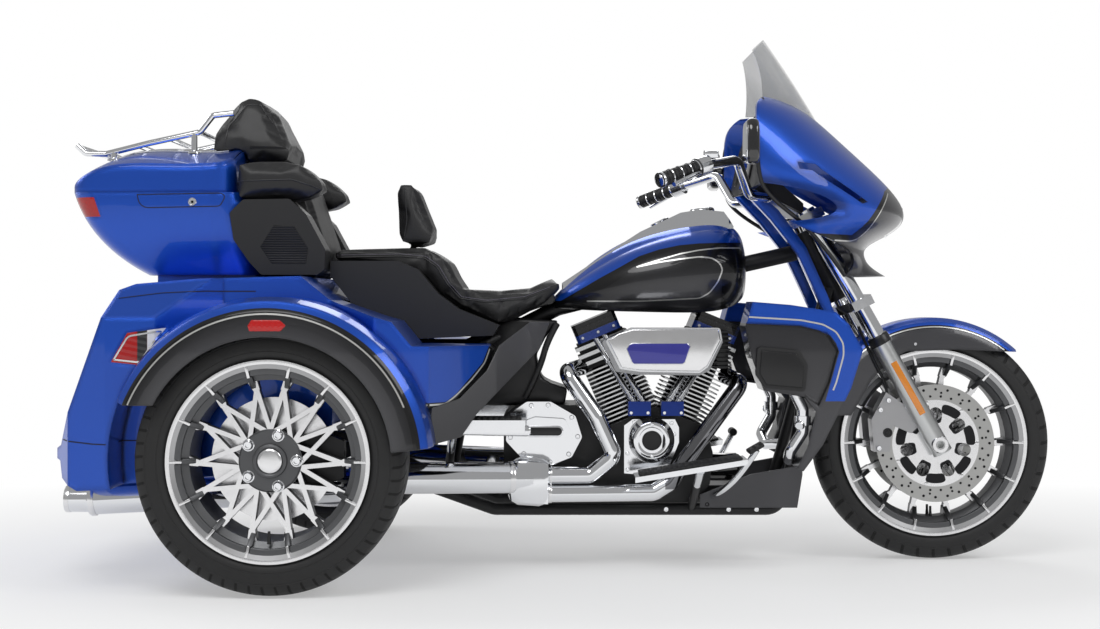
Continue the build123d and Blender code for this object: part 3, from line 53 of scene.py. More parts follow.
def settle(piece):  # place goes into the mesh, the object to the origin
    hold(piece)
    bpy.ops.object.transform_apply(location=True, rotation=True, scale=True)
    return piece


def applied(piece, kind, **values):  # one modifier, applied
    hold(piece)
    modifier = piece.modifiers.new(kind.title(), kind)
    for name, value in values.items():
        setattr(modifier, name, value)
    bpy.ops.object.modifier_apply(modifier=modifier.name)
    return piece


def smooth(piece, degrees=32):
    hold(piece)
    bpy.ops.object.shade_smooth_by_angle(angle=math.radians(degrees))
    return piece


def rounded(piece, width, segments=2, degrees=30):
    applied(piece, "BEVEL", width=width, segments=segments, limit_method="ANGLE", angle_limit=math.radians(degrees))
    return smooth(piece)


def loopOf(name, points):  # a ring of edges through the points
    clearChoice()
    bpy.ops.mesh.primitive_circle_add(vertices=len(points), radius=1, fill_type="NOTHING")
    piece = bpy.context.object
    piece.name = name
    for vertex, point in zip(piece.data.vertices, points):
        vertex.co = point
    return piece


def outward(piece):  # doubles merged, normals out
    hold(piece)
    bpy.ops.object.mode_set(mode="EDIT")
    bpy.ops.mesh.select_all(action="SELECT")
    bpy.ops.mesh.remove_doubles(threshold=0.00005)
    bpy.ops.mesh.normals_make_consistent(inside=False)
    bpy.ops.object.mode_set(mode="OBJECT")
    return piece


def plate(name, outline, y0, y1, bevel=0.0, segments=2):  # side-view outline in (x, z), carried from y0 to y1
    piece = loopOf(name, [(x, y0, z) for x, z in outline])
    bpy.ops.object.mode_set(mode="EDIT")
    bpy.ops.mesh.select_all(action="SELECT")
    bpy.ops.mesh.edge_face_add()
    bpy.ops.mesh.extrude_region_move(TRANSFORM_OT_translate={"value": (0, y1 - y0, 0)})
    bpy.ops.object.mode_set(mode="OBJECT")
    outward(piece)
    return rounded(piece, bevel, segments) if bevel else smooth(piece)


def tray(name, outline, level, height, bevel=0.0):  # plan outline in (x, y), carried up from a level
    piece = loopOf(name, [(x, y, level) for x, y in outline])
    bpy.ops.object.mode_set(mode="EDIT")
    bpy.ops.mesh.select_all(action="SELECT")
    bpy.ops.mesh.edge_face_add()
    bpy.ops.mesh.extrude_region_move(TRANSFORM_OT_translate={"value": (0, 0, height)})
    bpy.ops.object.mode_set(mode="OBJECT")
    outward(piece)
    return rounded(piece, bevel) if bevel else smooth(piece)


def turned(name, profile, centre, steps=64, axis=(0, 1, 0), open_=False):  # (along, radius) profile spun round an axis
    along = Vector(axis)
    side = Vector((0, 0, 1)) if abs(along.z) < 0.9 else Vector((1, 0, 0))
    side = (side - along * side.dot(along)).normalized()
    points = [Vector(centre) + along * a + side * r for a, r in profile]
    piece = loopOf(name, points)
    bpy.ops.object.mode_set(mode="EDIT")
    if open_:  # the profile's first and last points both lie on the axis
        bpy.ops.mesh.select_all(action="DESELECT")
        bpy.ops.object.mode_set(mode="OBJECT")
        for edge in piece.data.edges:
            edge.select = set(edge.vertices) == {0, len(points) - 1}
        bpy.ops.object.mode_set(mode="EDIT")
        bpy.ops.mesh.delete(type="EDGE_FACE")
    bpy.ops.mesh.select_all(action="SELECT")
    bpy.ops.mesh.spin(steps=steps, angle=math.tau, center=centre, axis=axis)
    bpy.ops.object.mode_set(mode="OBJECT")
    return smooth(outward(piece))


def pipe(name, points, radius, cyclic=False, smoothLine=True, sides=8):  # round bar along a line of points
    clearChoice()
    bpy.ops.curve.primitive_nurbs_path_add()
    piece = bpy.context.object
    piece.name = name
    curve = piece.data
    curve.splines.clear()
    spline = curve.splines.new("NURBS" if smoothLine else "POLY")
    spline.points.add(len(points) - 1)
    for spot, point in zip(spline.points, points):
        spot.co = (*point, 1)
    spline.use_cyclic_u = cyclic
    spline.use_endpoint_u = not cyclic
    spline.order_u = 3
    curve.bevel_depth = radius
    curve.bevel_resolution = max(1, sides // 2 - 1)
    curve.resolution_u = 8
    curve.use_fill_caps = True
    hold(piece)
    bpy.ops.object.convert(target="MESH")
    piece = bpy.context.object
    return smooth(outward(settle(piece)), 50)


def copyOf(piece, name, matrix):  # its own mesh, moved, at the origin
    twin = piece.copy()
    twin.data = piece.data.copy()
    twin.name = name
    bpy.context.collection.objects.link(twin)
    twin.data.transform(matrix)
    if matrix.determinant() < 0:
        twin.data.flip_normals()
    return twin


def mirrored(piece, name):  # twin on the other side of the trike
    return copyOf(piece, name, Matrix.Scale(-1, 4, Vector((0, 1, 0))))


def together(name, group):  # several pieces as one object
    clearChoice()
    for piece in group:
        piece.select_set(True)
    bpy.context.view_layer.objects.active = group[0]
    bpy.ops.object.join()
    group[0].name = name
    return group[0]


def placed(x, y, z, turn=0, axis="Y"):
    return Matrix.Translation(Vector((x, y, z))) @ Matrix.Rotation(turn, 4, axis)


# small tools for materials

class Line:  # wraps a socket, so that sums on it add Math nodes
    def __init__(self, finish, socket):
        self.finish = finish
        self.socket = socket

    def sum(self, operation, *others):
        return self.finish.make("ShaderNodeMath", {"operation": operation}, [self, *others])

    def __add__(self, other):
        return self.sum("ADD", other)

    __radd__ = __add__

    def __sub__(self, other):
        return self.sum("SUBTRACT", other)

    def __rsub__(self, other):
        return self.finish.make("ShaderNodeMath", {"operation": "SUBTRACT"}, [other, self])

    def __mul__(self, other):
        return self.sum("MULTIPLY", other)

    __rmul__ = __mul__

    def __truediv__(self, other):
        return self.sum("DIVIDE", other)

    def __gt__(self, other):
        return self.sum("GREATER_THAN", other)

    def __lt__(self, other):
        return self.sum("LESS_THAN", other)

    def __abs__(self):
        return self.sum("ABSOLUTE")

    def power(self, other):
        return self.sum("POWER", other)

    def root(self):
        return self.sum("SQRT")

    def least(self, other):
        return self.sum("MINIMUM", other)

    def most(self, other):
        return self.sum("MAXIMUM", other)

    def part(self):
        return self.sum("FRACT")

    def held(self):
        return self.most(0).least(1)

    def angleTo(self, other):
        return self.sum("ARCTAN2", other)

    def wave(self):
        return self.sum("SINE")


class Finish:  # one material with its nodes
    def __init__(self, name, colour, metallic=0.0, roughness=0.5, coat=0.0, **others):
        self.material = bpy.data.materials.new(name)
        self.material.use_nodes = True
        self.tree = self.material.node_tree
        self.shader = self.tree.nodes["Principled BSDF"]
        self.colour = colour
        start = {"Base Color": (*colour, 1), "Metallic": metallic, "Roughness": roughness, "Coat Weight": coat}
        for socket, value in {**start, **others}.items():
            self.shader.inputs[socket].default_value = value
        place = self.tree.nodes.new("ShaderNodeTexCoord")
        self.place = place.outputs["Object"]
        self.normal = place.outputs["Normal"]
        self.x, self.y, self.z = self.split(self.place)

    def make(self, kind, settings, values, out=0):
        node = self.tree.nodes.new(kind)
        for name, value in settings.items():
            if name == "stops":
                ramp = node.color_ramp
                while len(ramp.elements) < len(value):
                    ramp.elements.new(0.5)
                for element, (spot, colour) in zip(ramp.elements, value):
                    element.position = spot
                    element.color = colour if len(colour) == 4 else (*colour, 1)
            else:
                setattr(node, name, value)
        spots = values.items() if isinstance(values, dict) else enumerate(values)
        for spot, value in spots:
            if isinstance(value, Line):
                value = value.socket
            if isinstance(value, bpy.types.NodeSocket):
                self.tree.links.new(value, node.inputs[spot])
            else:
                node.inputs[spot].default_value = value
        return Line(self, node.outputs[out])

    def split(self, socket):
        first = self.make("ShaderNodeSeparateXYZ", {}, [socket])
        node = first.socket.node
        return [Line(self, node.outputs[k]) for k in range(3)]

    def noise(self, scale, detail=3.0, stretch=(1, 1, 1)):
        place = self.place
        if stretch != (1, 1, 1):
            place = self.make("ShaderNodeMapping", {}, {"Vector": self.place, "Scale": stretch})
        return self.make("ShaderNodeTexNoise", {}, {"Vector": place, "Scale": scale, "Detail": detail})

    def cells(self, scale, feature="F1"):
        return self.make("ShaderNodeTexVoronoi", {"feature": feature}, {"Vector": self.place, "Scale": scale})

    def curve(self, source, low, high, points, base, reach):  # a smooth height read from (spot, height) points
        stops = [((spot - low) / (high - low), [(height - base) / reach] * 3) for spot, height in points]
        ramp = self.make("ShaderNodeValToRGB", {"stops": stops}, [(source - low) / (high - low)])
        return self.make("ShaderNodeSeparateColor", {}, [ramp]) * reach + base

    def mix(self, mask, first, second):
        first = (*first, 1) if isinstance(first, tuple) and len(first) == 3 else first
        second = (*second, 1) if isinstance(second, tuple) and len(second) == 3 else second
        return self.make("ShaderNodeMix", {"data_type": "RGBA"}, {0: mask, 6: first, 7: second}, out=2)

    def feed(self, socket, value):
        self.tree.links.new(value.socket, self.shader.inputs[socket])
        return self

    def bump(self, height, strength=0.3, distance=0.001, edge=0.0):
        values = {"Strength": strength, "Distance": distance, "Height": height}
        if edge:
            values["Normal"] = self.make("ShaderNodeBevel", {"samples": 4}, {"Radius": edge})
        return self.feed("Normal", self.make("ShaderNodeBump", {}, values))

    def soften(self, edge):  # edges catch the light as rounded ones do
        return self.feed("Normal", self.make("ShaderNodeBevel", {"samples": 4}, {"Radius": edge}))


def dress(name, finish):  # a CAD node's or a piece's own material
    piece = nodes[name] if isinstance(name, str) else name
    piece.data.materials.clear()
    piece.data.materials.append(finish.material)
    return piece


print("tools ready")

# camera, at the photograph's angle

cameraSettings = {"place": (-0.05, -4.56, 0.704), "lens": 53.8, "shiftUp": -0.0105}
clearChoice()
bpy.ops.object.camera_add(location=cameraSettings["place"], rotation=(math.pi / 2, 0, 0))
camera = bpy.context.object
camera.data.lens = cameraSettings["lens"]
camera.data.sensor_width = 36
camera.data.shift_y = cameraSettings["shiftUp"]
bpy.context.scene.camera = camera
print("camera placed")

# floor, backdrop and lamps

stageSettings = {
    "floorSize": 40,
    "white": (0.93, 0.935, 0.94),
    "worldLight": 0.36,
    "clearFrom": 0.9,  # the floor turns to plain white beyond this distance
    "clearTo": 2.1,
    "lamps": (  # place, size, power, aim
        ((-1.2, -3.6, 4.4), 3.0, 105, (-0.2, 0, 0.6)),
        ((3.4, -2.6, 3.4), 2.2, 55, (0.4, 0, 0.7)),
        ((-4.2, 1.5, 3.0), 2.4, 45, (-0.8, 0, 0.6)),
        ((0.5, 4.5, 3.8), 3.0, 60, (0, 0, 0.6)),
    ),
}
clearChoice()
bpy.ops.mesh.primitive_plane_add(size=stageSettings["floorSize"], location=(0, 0, -0.0005))
floor = bpy.context.object
floor.name = "floor"
settle(floor)
floorFinish = Finish("paleFloor", stageSettings["white"], roughness=0.85)
spread = ((floorFinish.x * floorFinish.x) * 0.30 + (floorFinish.y * floorFinish.y)).root()
fade = ((spread - stageSettings["clearFrom"]) / (stageSettings["clearTo"] - stageSettings["clearFrom"])).held()
sight = floorFinish.make("ShaderNodeLightPath", {}, [])
direct = sight.most(Line(floorFinish, sight.socket.node.outputs["Is Glossy Ray"]))
glow = floorFinish.make("ShaderNodeEmission", {}, {"Color": (1, 1, 1, 1), "Strength": 1.0})
blend = floorFinish.make("ShaderNodeMixShader", {}, {0: (fade * 0.62 + 0.38) * direct, 1: floorFinish.shader.outputs["BSDF"], 2: glow})
floorFinish.tree.links.new(blend.socket, floorFinish.tree.nodes["Material Output"].inputs["Surface"])
floor.data.materials.append(floorFinish.material)

world = bpy.data.worlds.new("studio")
bpy.context.scene.world = world
world.use_nodes = True
worldTree = world.node_tree
background = worldTree.nodes["Background"]
background.inputs["Color"].default_value = (1, 1, 1, 1)
rays = worldTree.nodes.new("ShaderNodeLightPath")
seen = worldTree.nodes.new("ShaderNodeMath")
seen.operation = "MAXIMUM"
worldTree.links.new(rays.outputs["Is Camera Ray"], seen.inputs[0])
worldTree.links.new(rays.outputs["Is Transmission Ray"], seen.inputs[1])
level = worldTree.nodes.new("ShaderNodeMath")
level.operation = "MULTIPLY_ADD"
worldTree.links.new(seen.outputs[0], level.inputs[0])
level.inputs[1].default_value = 1 - stageSettings["worldLight"]
level.inputs[2].default_value = stageSettings["worldLight"]
worldTree.links.new(level.outputs[0], background.inputs["Strength"])

for place, size, power, aim in stageSettings["lamps"]:
    clearChoice()
    way = Vector(aim) - Vector(place)
    bpy.ops.object.light_add(type="AREA", location=place, rotation=way.to_track_quat("-Z", "Y").to_euler())
    lamp = bpy.context.object
    lamp.data.shape = "DISK"
    lamp.data.size = size
    lamp.data.energy = power
bpy.context.scene.view_settings.view_transform = "Standard"
print("stage lit")

# finishes

blue = (0.001, 0.062, 0.43)
navy = (0.003, 0.022, 0.20)
charcoal = (0.060, 0.060, 0.066)
blackBand = (0.006, 0.006, 0.007)
silver = (0.62, 0.62, 0.60)


def paint(name, colour=blue):  # metallic paint under lacquer
    finish = Finish(name, colour, metallic=0.62, roughness=0.30, coat=0.55, **{"Coat Roughness": 0.03})
    flake = finish.cells(2600)
    finish.feed("Roughness", finish.noise(9) * 0.08 + flake * 0.10 + 0.22)
    return finish.soften(0.016)


def flaked(finish, colour):  # a colour with the paint's fine sparkle in it
    return finish.mix(finish.noise(900, 1.0) * 0.5, colour, tuple(min(1, c * 1.7 + 0.01) for c in colour))


def plainPaint(name, colour=blue):
    finish = paint(name, colour)
    return finish.feed("Base Color", flaked(finish, colour))


def satin(name, colour, roughness=0.42):
    finish = Finish(name, colour, metallic=0.35, roughness=roughness, coat=0.25)
    finish.feed("Roughness", finish.noise(60) * 0.12 + (roughness - 0.06))
    return finish.bump(finish.noise(420, 2.0), 0.08, 0.0006, 0.005)


def bright(name, colour=(0.80, 0.81, 0.83), roughness=0.07):  # chrome and polished metal
    finish = Finish(name, colour, metallic=1.0, roughness=roughness)
    return finish.feed("Roughness", finish.noise(14) * 0.05 + roughness)


def cast(name, colour, roughness=0.5, metallic=0.7, grain=700):
    finish = Finish(name, colour, metallic=metallic, roughness=roughness)
    finish.feed("Roughness", finish.noise(30) * 0.15 + (roughness - 0.08))
    return finish.bump(finish.noise(grain, 2.0), 0.25, 0.0006)


def moulded(name, colour=(0.012, 0.012, 0.013), roughness=0.48):
    finish = Finish(name, colour, roughness=roughness)
    finish.feed("Roughness", finish.noise(40) * 0.1 + (roughness - 0.05))
    return finish.bump(finish.cells(900), 0.12, 0.0004)


bluePaint = plainPaint("bluePaint")
charcoalPaint = satin("charcoalPaint", charcoal)
chrome = bright("chrome")
polishedAlloy = bright("polishedAlloy", (0.66, 0.665, 0.67), 0.20)
blackCast = cast("blackCast", (0.012, 0.012, 0.013), 0.42, 0.3)
blackMoulded = moulded("blackMoulded")
blackGloss = Finish("blackGloss", (0.006, 0.006, 0.007), roughness=0.12, coat=1.0)
blackGloss.feed("Roughness", blackGloss.noise(12) * 0.06 + 0.1)
rubber = moulded("rubber", (0.018, 0.018, 0.019), 0.62)
leather = Finish("leather", (0.012, 0.012, 0.013), roughness=0.46)
leatherGrain = leather.cells(520) * 0.6 + leather.noise(160, 4.0) * 0.4
leather.feed("Roughness", leather.noise(24) * 0.14 + 0.4)
leather.bump(leatherGrain, 0.28, 0.0009)

# Painted panels: blue over charcoal, with a black band and a silver line between

paintSettings = {
    "tankEdge": [(-0.02, 0.71), (0.03, 0.739), (0.084, 0.771), (0.137, 0.800), (0.19, 0.830), (0.244, 0.848),
                 (0.297, 0.859), (0.351, 0.864), (0.49, 0.868)],
    "tankPanel": [(-0.01, 0.70), (0.10, 0.745), (0.182, 0.797), (0.243, 0.812), (0.297, 0.820), (0.35, 0.826),
                  (0.382, 0.823), (0.403, 0.811), (0.42, 0.70)],
    "fairingEdge": [(0.46, 0.885), (0.626, 0.885), (0.742, 0.882), (0.757, 0.895), (0.778, 0.916), (0.836, 1.0),
                    (0.87, 1.02), (0.92, 1.03)],
    "fairingSkirt": [(0.46, 0.869), (0.637, 0.869), (0.742, 0.867), (0.763, 0.874), (0.784, 0.895), (0.847, 0.995),
                     (0.92, 1.02)],
    "shieldEdge": [(0.44, 0.652), (0.593, 0.645), (0.640, 0.634), (0.670, 0.620), (0.684, 0.600), (0.693, 0.575)],
    "axleRear": (-0.72, 0.326),
    "axleFront": (1.0, 0.322),
    "fenderBlue": 0.366,
    "fenderBlack": 0.350,
    "frontBlue": 0.322,
    "frontBlack": 0.313,
}


def edged(mask, low=0.0, soft=0.0012):  # a signed distance made a crisp mask
    return ((mask - low) / soft + 0.5).held()


def fromCentre(finish, centre):
    across, up = finish.x - centre[0], finish.z - centre[1]
    return (across * across + up * up).root()


def paintOver(name, zones):  # zones: (mask, colour), each over the last
    finish = paint(name)
    shade = flaked(finish, blue)
    for mask, colour in zones(finish):
        shade = finish.mix(mask, shade, colour if isinstance(colour, Line) else (*colour, 1))
    finish.feed("Base Color", shade)
    return finish


def tankZones(f):
    edge = f.curve(f.x, -0.02, 0.49, paintSettings["tankEdge"], 0.6, 0.4)
    panel = f.curve(f.x, -0.01, 0.42, paintSettings["tankPanel"], 0.6, 0.4)
    # painted shade: the charcoal panel turns near black towards its top edge
    shadeFade = ((panel - f.z) / 0.11).held()
    charcoalPaintedShade = f.mix(shadeFade, (0.012, 0.012, 0.013), charcoal)
    flank = edged(edge - f.z)
    inside = edged(panel - f.z) * edged(0.410 - f.x)
    return [(flank, blackBand), (inside, charcoalPaintedShade)]


def fairingZones(f):
    edge = f.curve(f.x, 0.46, 0.92, paintSettings["fairingEdge"], 0.8, 0.3)
    skirt = f.curve(f.x, 0.46, 0.92, paintSettings["fairingSkirt"], 0.8, 0.3)
    return [(edged(edge - f.z), blackBand), (edged(skirt - f.z), charcoal)]


def rearFenderZones(f):
    reach = fromCentre(f, paintSettings["axleRear"])
    side = edged(abs(f.y) - 0.640)
    # painted shade: the charcoal band turns near black towards its outer edge, below the black band
    charcoalPaintedShade = f.mix(((reach - 0.300) / 0.05).held(), charcoal, (0.016, 0.016, 0.018))
    lower = edged(paintSettings["fenderBlue"] - reach)
    return [(side * lower, blackBand), (side * edged(paintSettings["fenderBlack"] - reach), charcoalPaintedShade)]


def frontFenderZones(f):
    reach = fromCentre(f, paintSettings["axleFront"])
    return [(edged(paintSettings["frontBlue"] - reach), blackBand),
            (edged(paintSettings["frontBlack"] - reach), charcoal)]


def shieldZones(f):
    edge = f.curve(f.x, 0.44, 0.693, paintSettings["shieldEdge"], 0.4, 0.3)
    outer = (f.x - 0.693) + (0.583 - f.z) * 0.28
    low = edged(0.452 - f.z)
    inside = edged(edge - f.z) * edged(-1 * outer)
    # painted shade: the charcoal darkens upwards, from z 0.42 to z 0.62
    charcoalPaintedShade = f.mix(((f.z - 0.42) / 0.2).held(), charcoal, (0.030, 0.030, 0.034))
    return [(inside.most(low), charcoalPaintedShade)]


def shoulderZones(f):
    edge = f.curve(f.x, -0.44, -0.19, [(-0.44, 0.463), (-0.354, 0.461), (-0.305, 0.461), (-0.281, 0.480), (-0.22, 0.553),
                                        (-0.206, 0.590), (-0.19, 0.62)], 0.4, 0.3)
    ahead = edged(f.x + 0.44)
    trunk = edged(0.4345 - abs(f.y)) * edged(0.7095 - f.z) * edged(f.x + 1.118) * edged(-0.599 - f.x) * edged(f.z - 0.396)
    return [(ahead * edged(edge - f.z), blackBand), (trunk, (0.022, 0.022, 0.023))]


tankPaint = paintOver("tankPaint", tankZones)
fairingPaint = paintOver("fairingPaint", fairingZones)
rearFenderPaint = paintOver("rearFenderPaint", rearFenderZones)
frontFenderPaint = paintOver("frontFenderPaint", frontFenderZones)
shieldPaint = paintOver("shieldPaint", shieldZones)
bodyPaint = paintOver("bodyPaint", shoulderZones)
silverLine = Finish("silverLine", silver, metallic=0.75, roughness=0.3, coat=0.6)
silverLine.feed("Roughness", silverLine.noise(30) * 0.1 + 0.25)
print("paints mixed")


def ribbon(name, nodeName, points, width=0.0042, side=-1, lift=0.0007, step=0.008, reachY=1.2):
    # a painted line laid on a node's skin, seen from the side
    target = nodes[nodeName]
    line = []
    for (x0, z0), (x1, z1) in zip(points, points[1:]):
        count = max(1, round(math.hypot(x1 - x0, z1 - z0) / step))
        line += [(x0 + (x1 - x0) * k / count, z0 + (z1 - z0) * k / count) for k in range(count)]
    line.append(points[-1])
    smoothLine = [line[0]]
    for a, b, c in zip(line, line[1:], line[2:]):
        smoothLine.append(((a[0] + 2 * b[0] + c[0]) / 4, (a[1] + 2 * b[1] + c[1]) / 4))
    smoothLine.append(line[-1])
    spots = []
    for x, z in smoothLine:
        hit, where, normal, _ = target.ray_cast(Vector((x, side * reachY, z)), Vector((0, -side, 0)))
        if hit:
            spots.append((where, normal if normal.y * side > 0 else -normal))
    clearChoice()
    bpy.ops.mesh.primitive_grid_add(x_subdivisions=len(spots) - 1, y_subdivisions=1)
    piece = bpy.context.object
    piece.name = name
    count = len(spots)
    for k, (where, normal) in enumerate(spots):
        ahead = spots[min(k + 1, count - 1)][0] - spots[max(k - 1, 0)][0]
        across = normal.cross(ahead).normalized() * width / 2
        piece.data.vertices[k].co = where + normal * lift - across
        piece.data.vertices[count + k].co = where + normal * lift + across
    if piece.data.polygons[0].normal.dot(spots[0][1]) < 0:
        piece.data.flip_normals()
    return smooth(dress(piece, silverLine), 60)


def lined(name, nodeName, points, body, **settings):  # the same line on both sides
    for label, side in (("Right", -1), ("Left", 1)):
        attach(ribbon(name + label, nodeName, points, side=side, **settings), body)


def arc(centre, radius, start, stop, steps=40):
    turns = [math.radians(start + (stop - start) * k / steps) for k in range(steps + 1)]
    return [(centre[0] + radius * math.cos(t), centre[1] + radius * math.sin(t)) for t in turns]


lined("tankLineUpper", "fuel_tank", [(0.182, 0.800), (0.243, 0.819), (0.297, 0.835), (0.35, 0.845), (0.403, 0.851),
                                     (0.462, 0.852)], "chassis")
lined("tankLineLoop", "fuel_tank", [(0.182, 0.800), (0.243, 0.813), (0.297, 0.821), (0.35, 0.827), (0.382, 0.824),
                                    (0.403, 0.811), (0.411, 0.792), (0.398, 0.76), (0.376, 0.731), (0.35, 0.717),
                                    (0.19, 0.709), (0.05, 0.709)], "chassis")
lined("fairingLine", "fairing", [(0.645, 0.869), (0.742, 0.867), (0.763, 0.874), (0.784, 0.895), (0.847, 0.995)],
      "steering")
lined("shieldLine", "lower_fairings", [(0.460, 0.668), (0.593, 0.660), (0.650, 0.649), (0.684, 0.630), (0.702, 0.600),
                                       (0.703, 0.570), (0.684, 0.500), (0.676, 0.480)], "chassis")
lined("fenderLine", "rear_fenders", arc(paintSettings["axleRear"], 0.352, 172, 22), "chassis", width=0.004)
lined("shoulderLine", "rear_body", [(-0.415, 0.458), (-0.357, 0.456), (-0.308, 0.456), (-0.284, 0.474), (-0.245, 0.514),
                                    (-0.215, 0.553), (-0.203, 0.588)], "chassis")
lined("frontFenderLine", "front_fender", arc(paintSettings["axleFront"], 0.3165, 142, 46), "steering", width=0.0036)
print("lines laid")

# Each carried-over node gets its finish

wheelSettings = {
    "sectors": 14,
    "rear": {"centre": (-0.72, 0.326), "rim": 0.243, "half": 0.1075, "middle": 0.5575},
    "front": {"centre": (1.0, 0.322), "rim": 0.255, "half": 0.065, "middle": 0.0},
    "discBand": (0.118, 0.160),
}
machined = (0.82, 0.82, 0.83)
wheelGrey = (0.115, 0.117, 0.122)


def alloyFace(name, half, middle, hub):  # bright machined faces over satin grey sides
    finish = Finish(name, machined, metallic=1.0, roughness=0.2)
    nx, ny, nz = finish.split(finish.normal)
    outer = abs(abs(finish.y) - middle)
    face = edged(abs(ny) - 0.93, 0, 0.03)
    centre = wheelSettings["front" if middle == 0 else "rear"]["centre"]
    reach = fromCentre(finish, centre)
    hubZone = edged(reach - hub, 0, 0.001)
    mask = face * hubZone
    finish.feed("Base Color", finish.mix(mask, wheelGrey, machined))
    finish.feed("Roughness", mask * -0.16 + (finish.noise(90) * 0.12 + 0.32))
    finish.feed("Metallic", mask * 0.4 + 0.6)
    return finish.bump(finish.noise(500, 2.0), 0.06, 0.0004)


def finnedCylinders():
    finish = Finish("finnedCylinders", (0.012, 0.012, 0.013), metallic=0.6, roughness=0.4)
    nx, ny, nz = finish.split(finish.normal)
    edge = edged(abs(finish.y) - 0.0735, 0, 0.0006) * edged(abs(ny) - 0.9, 0, 0.03)
    finish.feed("Base Color", finish.mix(edge, (0.012, 0.012, 0.013), (0.72, 0.73, 0.74)))
    finish.feed("Metallic", edge * 0.5 + 0.5)
    finish.feed("Roughness", edge * -0.2 + (finish.noise(80) * 0.1 + 0.4))
    return finish.bump(finish.noise(600, 2.0), 0.15, 0.0004)


def alongCylinder(f):  # distance up either cylinder from the crank
    lean = math.radians(22.5)
    return abs(f.x - 0.238) * math.sin(lean) + (f.z - 0.245) * math.cos(lean)


def rockerFinish():
    finish = Finish("rockerFinish", blackBand, metallic=0.3, roughness=0.25, coat=0.8)
    up = alongCylinder(finish)
    band = edged(0.424 - up)
    groove = (edged(0.002 - abs(up - 0.424), 0, 0.0006)).most(edged(0.0015 - abs(up - 0.440), 0, 0.0006))
    shade = finish.mix(band, (0.008, 0.008, 0.009), (0.006, 0.035, 0.24))
    finish.feed("Base Color", finish.mix(groove, shade, (0.001, 0.001, 0.001)))
    finish.feed("Roughness", finish.noise(60) * 0.12 + 0.2)
    return finish.bump(1 - groove, 0.6, 0.001)


def pushrodFinish():
    finish = Finish("pushrodFinish", (0.8, 0.81, 0.83), metallic=1.0, roughness=0.08)
    block = edged(0.4405 - finish.z)
    finish.feed("Base Color", finish.mix(block, (0.80, 0.81, 0.83), (0.006, 0.035, 0.26)))
    finish.feed("Metallic", 0.95 - block * 0.5)
    finish.feed("Roughness", block * 0.2 + (finish.noise(40) * 0.05 + 0.07))
    return finish


def cleanerFinish():
    finish = Finish("cleanerFinish", (0.8, 0.81, 0.83), metallic=1.0, roughness=0.1)
    backing = edged(0.2050 - abs(finish.y), 0, 0.0008)
    finish.feed("Base Color", finish.mix(backing, (0.80, 0.81, 0.83), (0.008, 0.008, 0.009)))
    finish.feed("Metallic", 1 - backing * 0.7)
    finish.feed("Roughness", backing * 0.25 + (finish.noise(20) * 0.05 + 0.1))
    return finish


def brushed(name, colour, roughness=0.28, centre=None):  # fine turned or drawn marks
    finish = Finish(name, colour, metallic=1.0, roughness=roughness)
    marks = finish.noise(120, 4.0, (1, 1, 18)) if centre is None else (fromCentre(finish, centre) * 4000).wave()
    finish.feed("Roughness", finish.noise(50) * 0.12 + (roughness - 0.05))
    return finish.bump(marks, 0.05, 0.0003)


def frontDiscFinish():
    centre = wheelSettings["front"]["centre"]
    finish = Finish("frontDisc", (0.52, 0.52, 0.51), metallic=1.0, roughness=0.3)
    reach = fromCentre(finish, centre)
    turn = (finish.z - centre[1]).angleTo(finish.x - centre[0]) / math.tau
    holes = None
    for radius, number, shift, size in ((0.128, 28, 0.0, 0.0033), (0.147, 28, 0.5, 0.0036), (0.138, 14, 0.25, 0.003)):
        off = ((turn * number + (shift + number)).part() - 0.5) * (math.tau * radius / number)
        spot = edged(size - (off * off + (reach - radius) * (reach - radius)).root(), 0, 0.0006)
        holes = spot if holes is None else holes.most(spot)
    carrier = edged(wheelSettings["discBand"][0] - reach)
    windows = None
    for radius, number, shift, wide, tall in ((0.096, 7, 0.25, 0.026, 0.013), (0.066, 7, 0.75, 0.016, 0.011)):
        off = ((turn * number + (shift + number)).part() - 0.5) * (math.tau * radius / number)
        inwards = (reach - radius) / tall
        across = off / wide
        spot = edged(1 - (across * across * across * across + inwards * inwards * inwards * inwards), 0, 0.15)
        windows = spot if windows is None else windows.most(spot)
    # the drilled holes and the carrier's windows are painted dark, as painted shade seen through them
    dark = holes.most(windows * carrier)
    steel = finish.mix(carrier, (0.46, 0.46, 0.45), (0.82, 0.82, 0.83))
    finish.feed("Base Color", finish.mix(dark, steel, (0.03, 0.03, 0.032)))
    finish.feed("Roughness", carrier * -0.1 + (finish.noise(60) * 0.1 + 0.28) + dark * 0.3)
    return finish.bump(1 - dark, 0.8, 0.002)


def boardFinish():
    finish = Finish("boardFinish", (0.8, 0.81, 0.83), metallic=1.0, roughness=0.09)
    arm = edged(0.2455 - abs(finish.y), 0, 0.001)
    finish.feed("Base Color", finish.mix(arm, (0.80, 0.81, 0.83), (0.010, 0.010, 0.011)))
    finish.feed("Metallic", 1 - arm * 0.7)
    finish.feed("Roughness", arm * 0.3 + (finish.noise(20) * 0.05 + 0.08))
    return finish


def coverFinish():  # dark side covers, painted paler towards the top as painted light from above
    finish = satin("coverFinish", charcoal, 0.36)
    shade = finish.mix(((finish.z - 0.36) / 0.30).held(), (0.040, 0.040, 0.044), (0.105, 0.105, 0.112))
    return finish.feed("Base Color", shade)


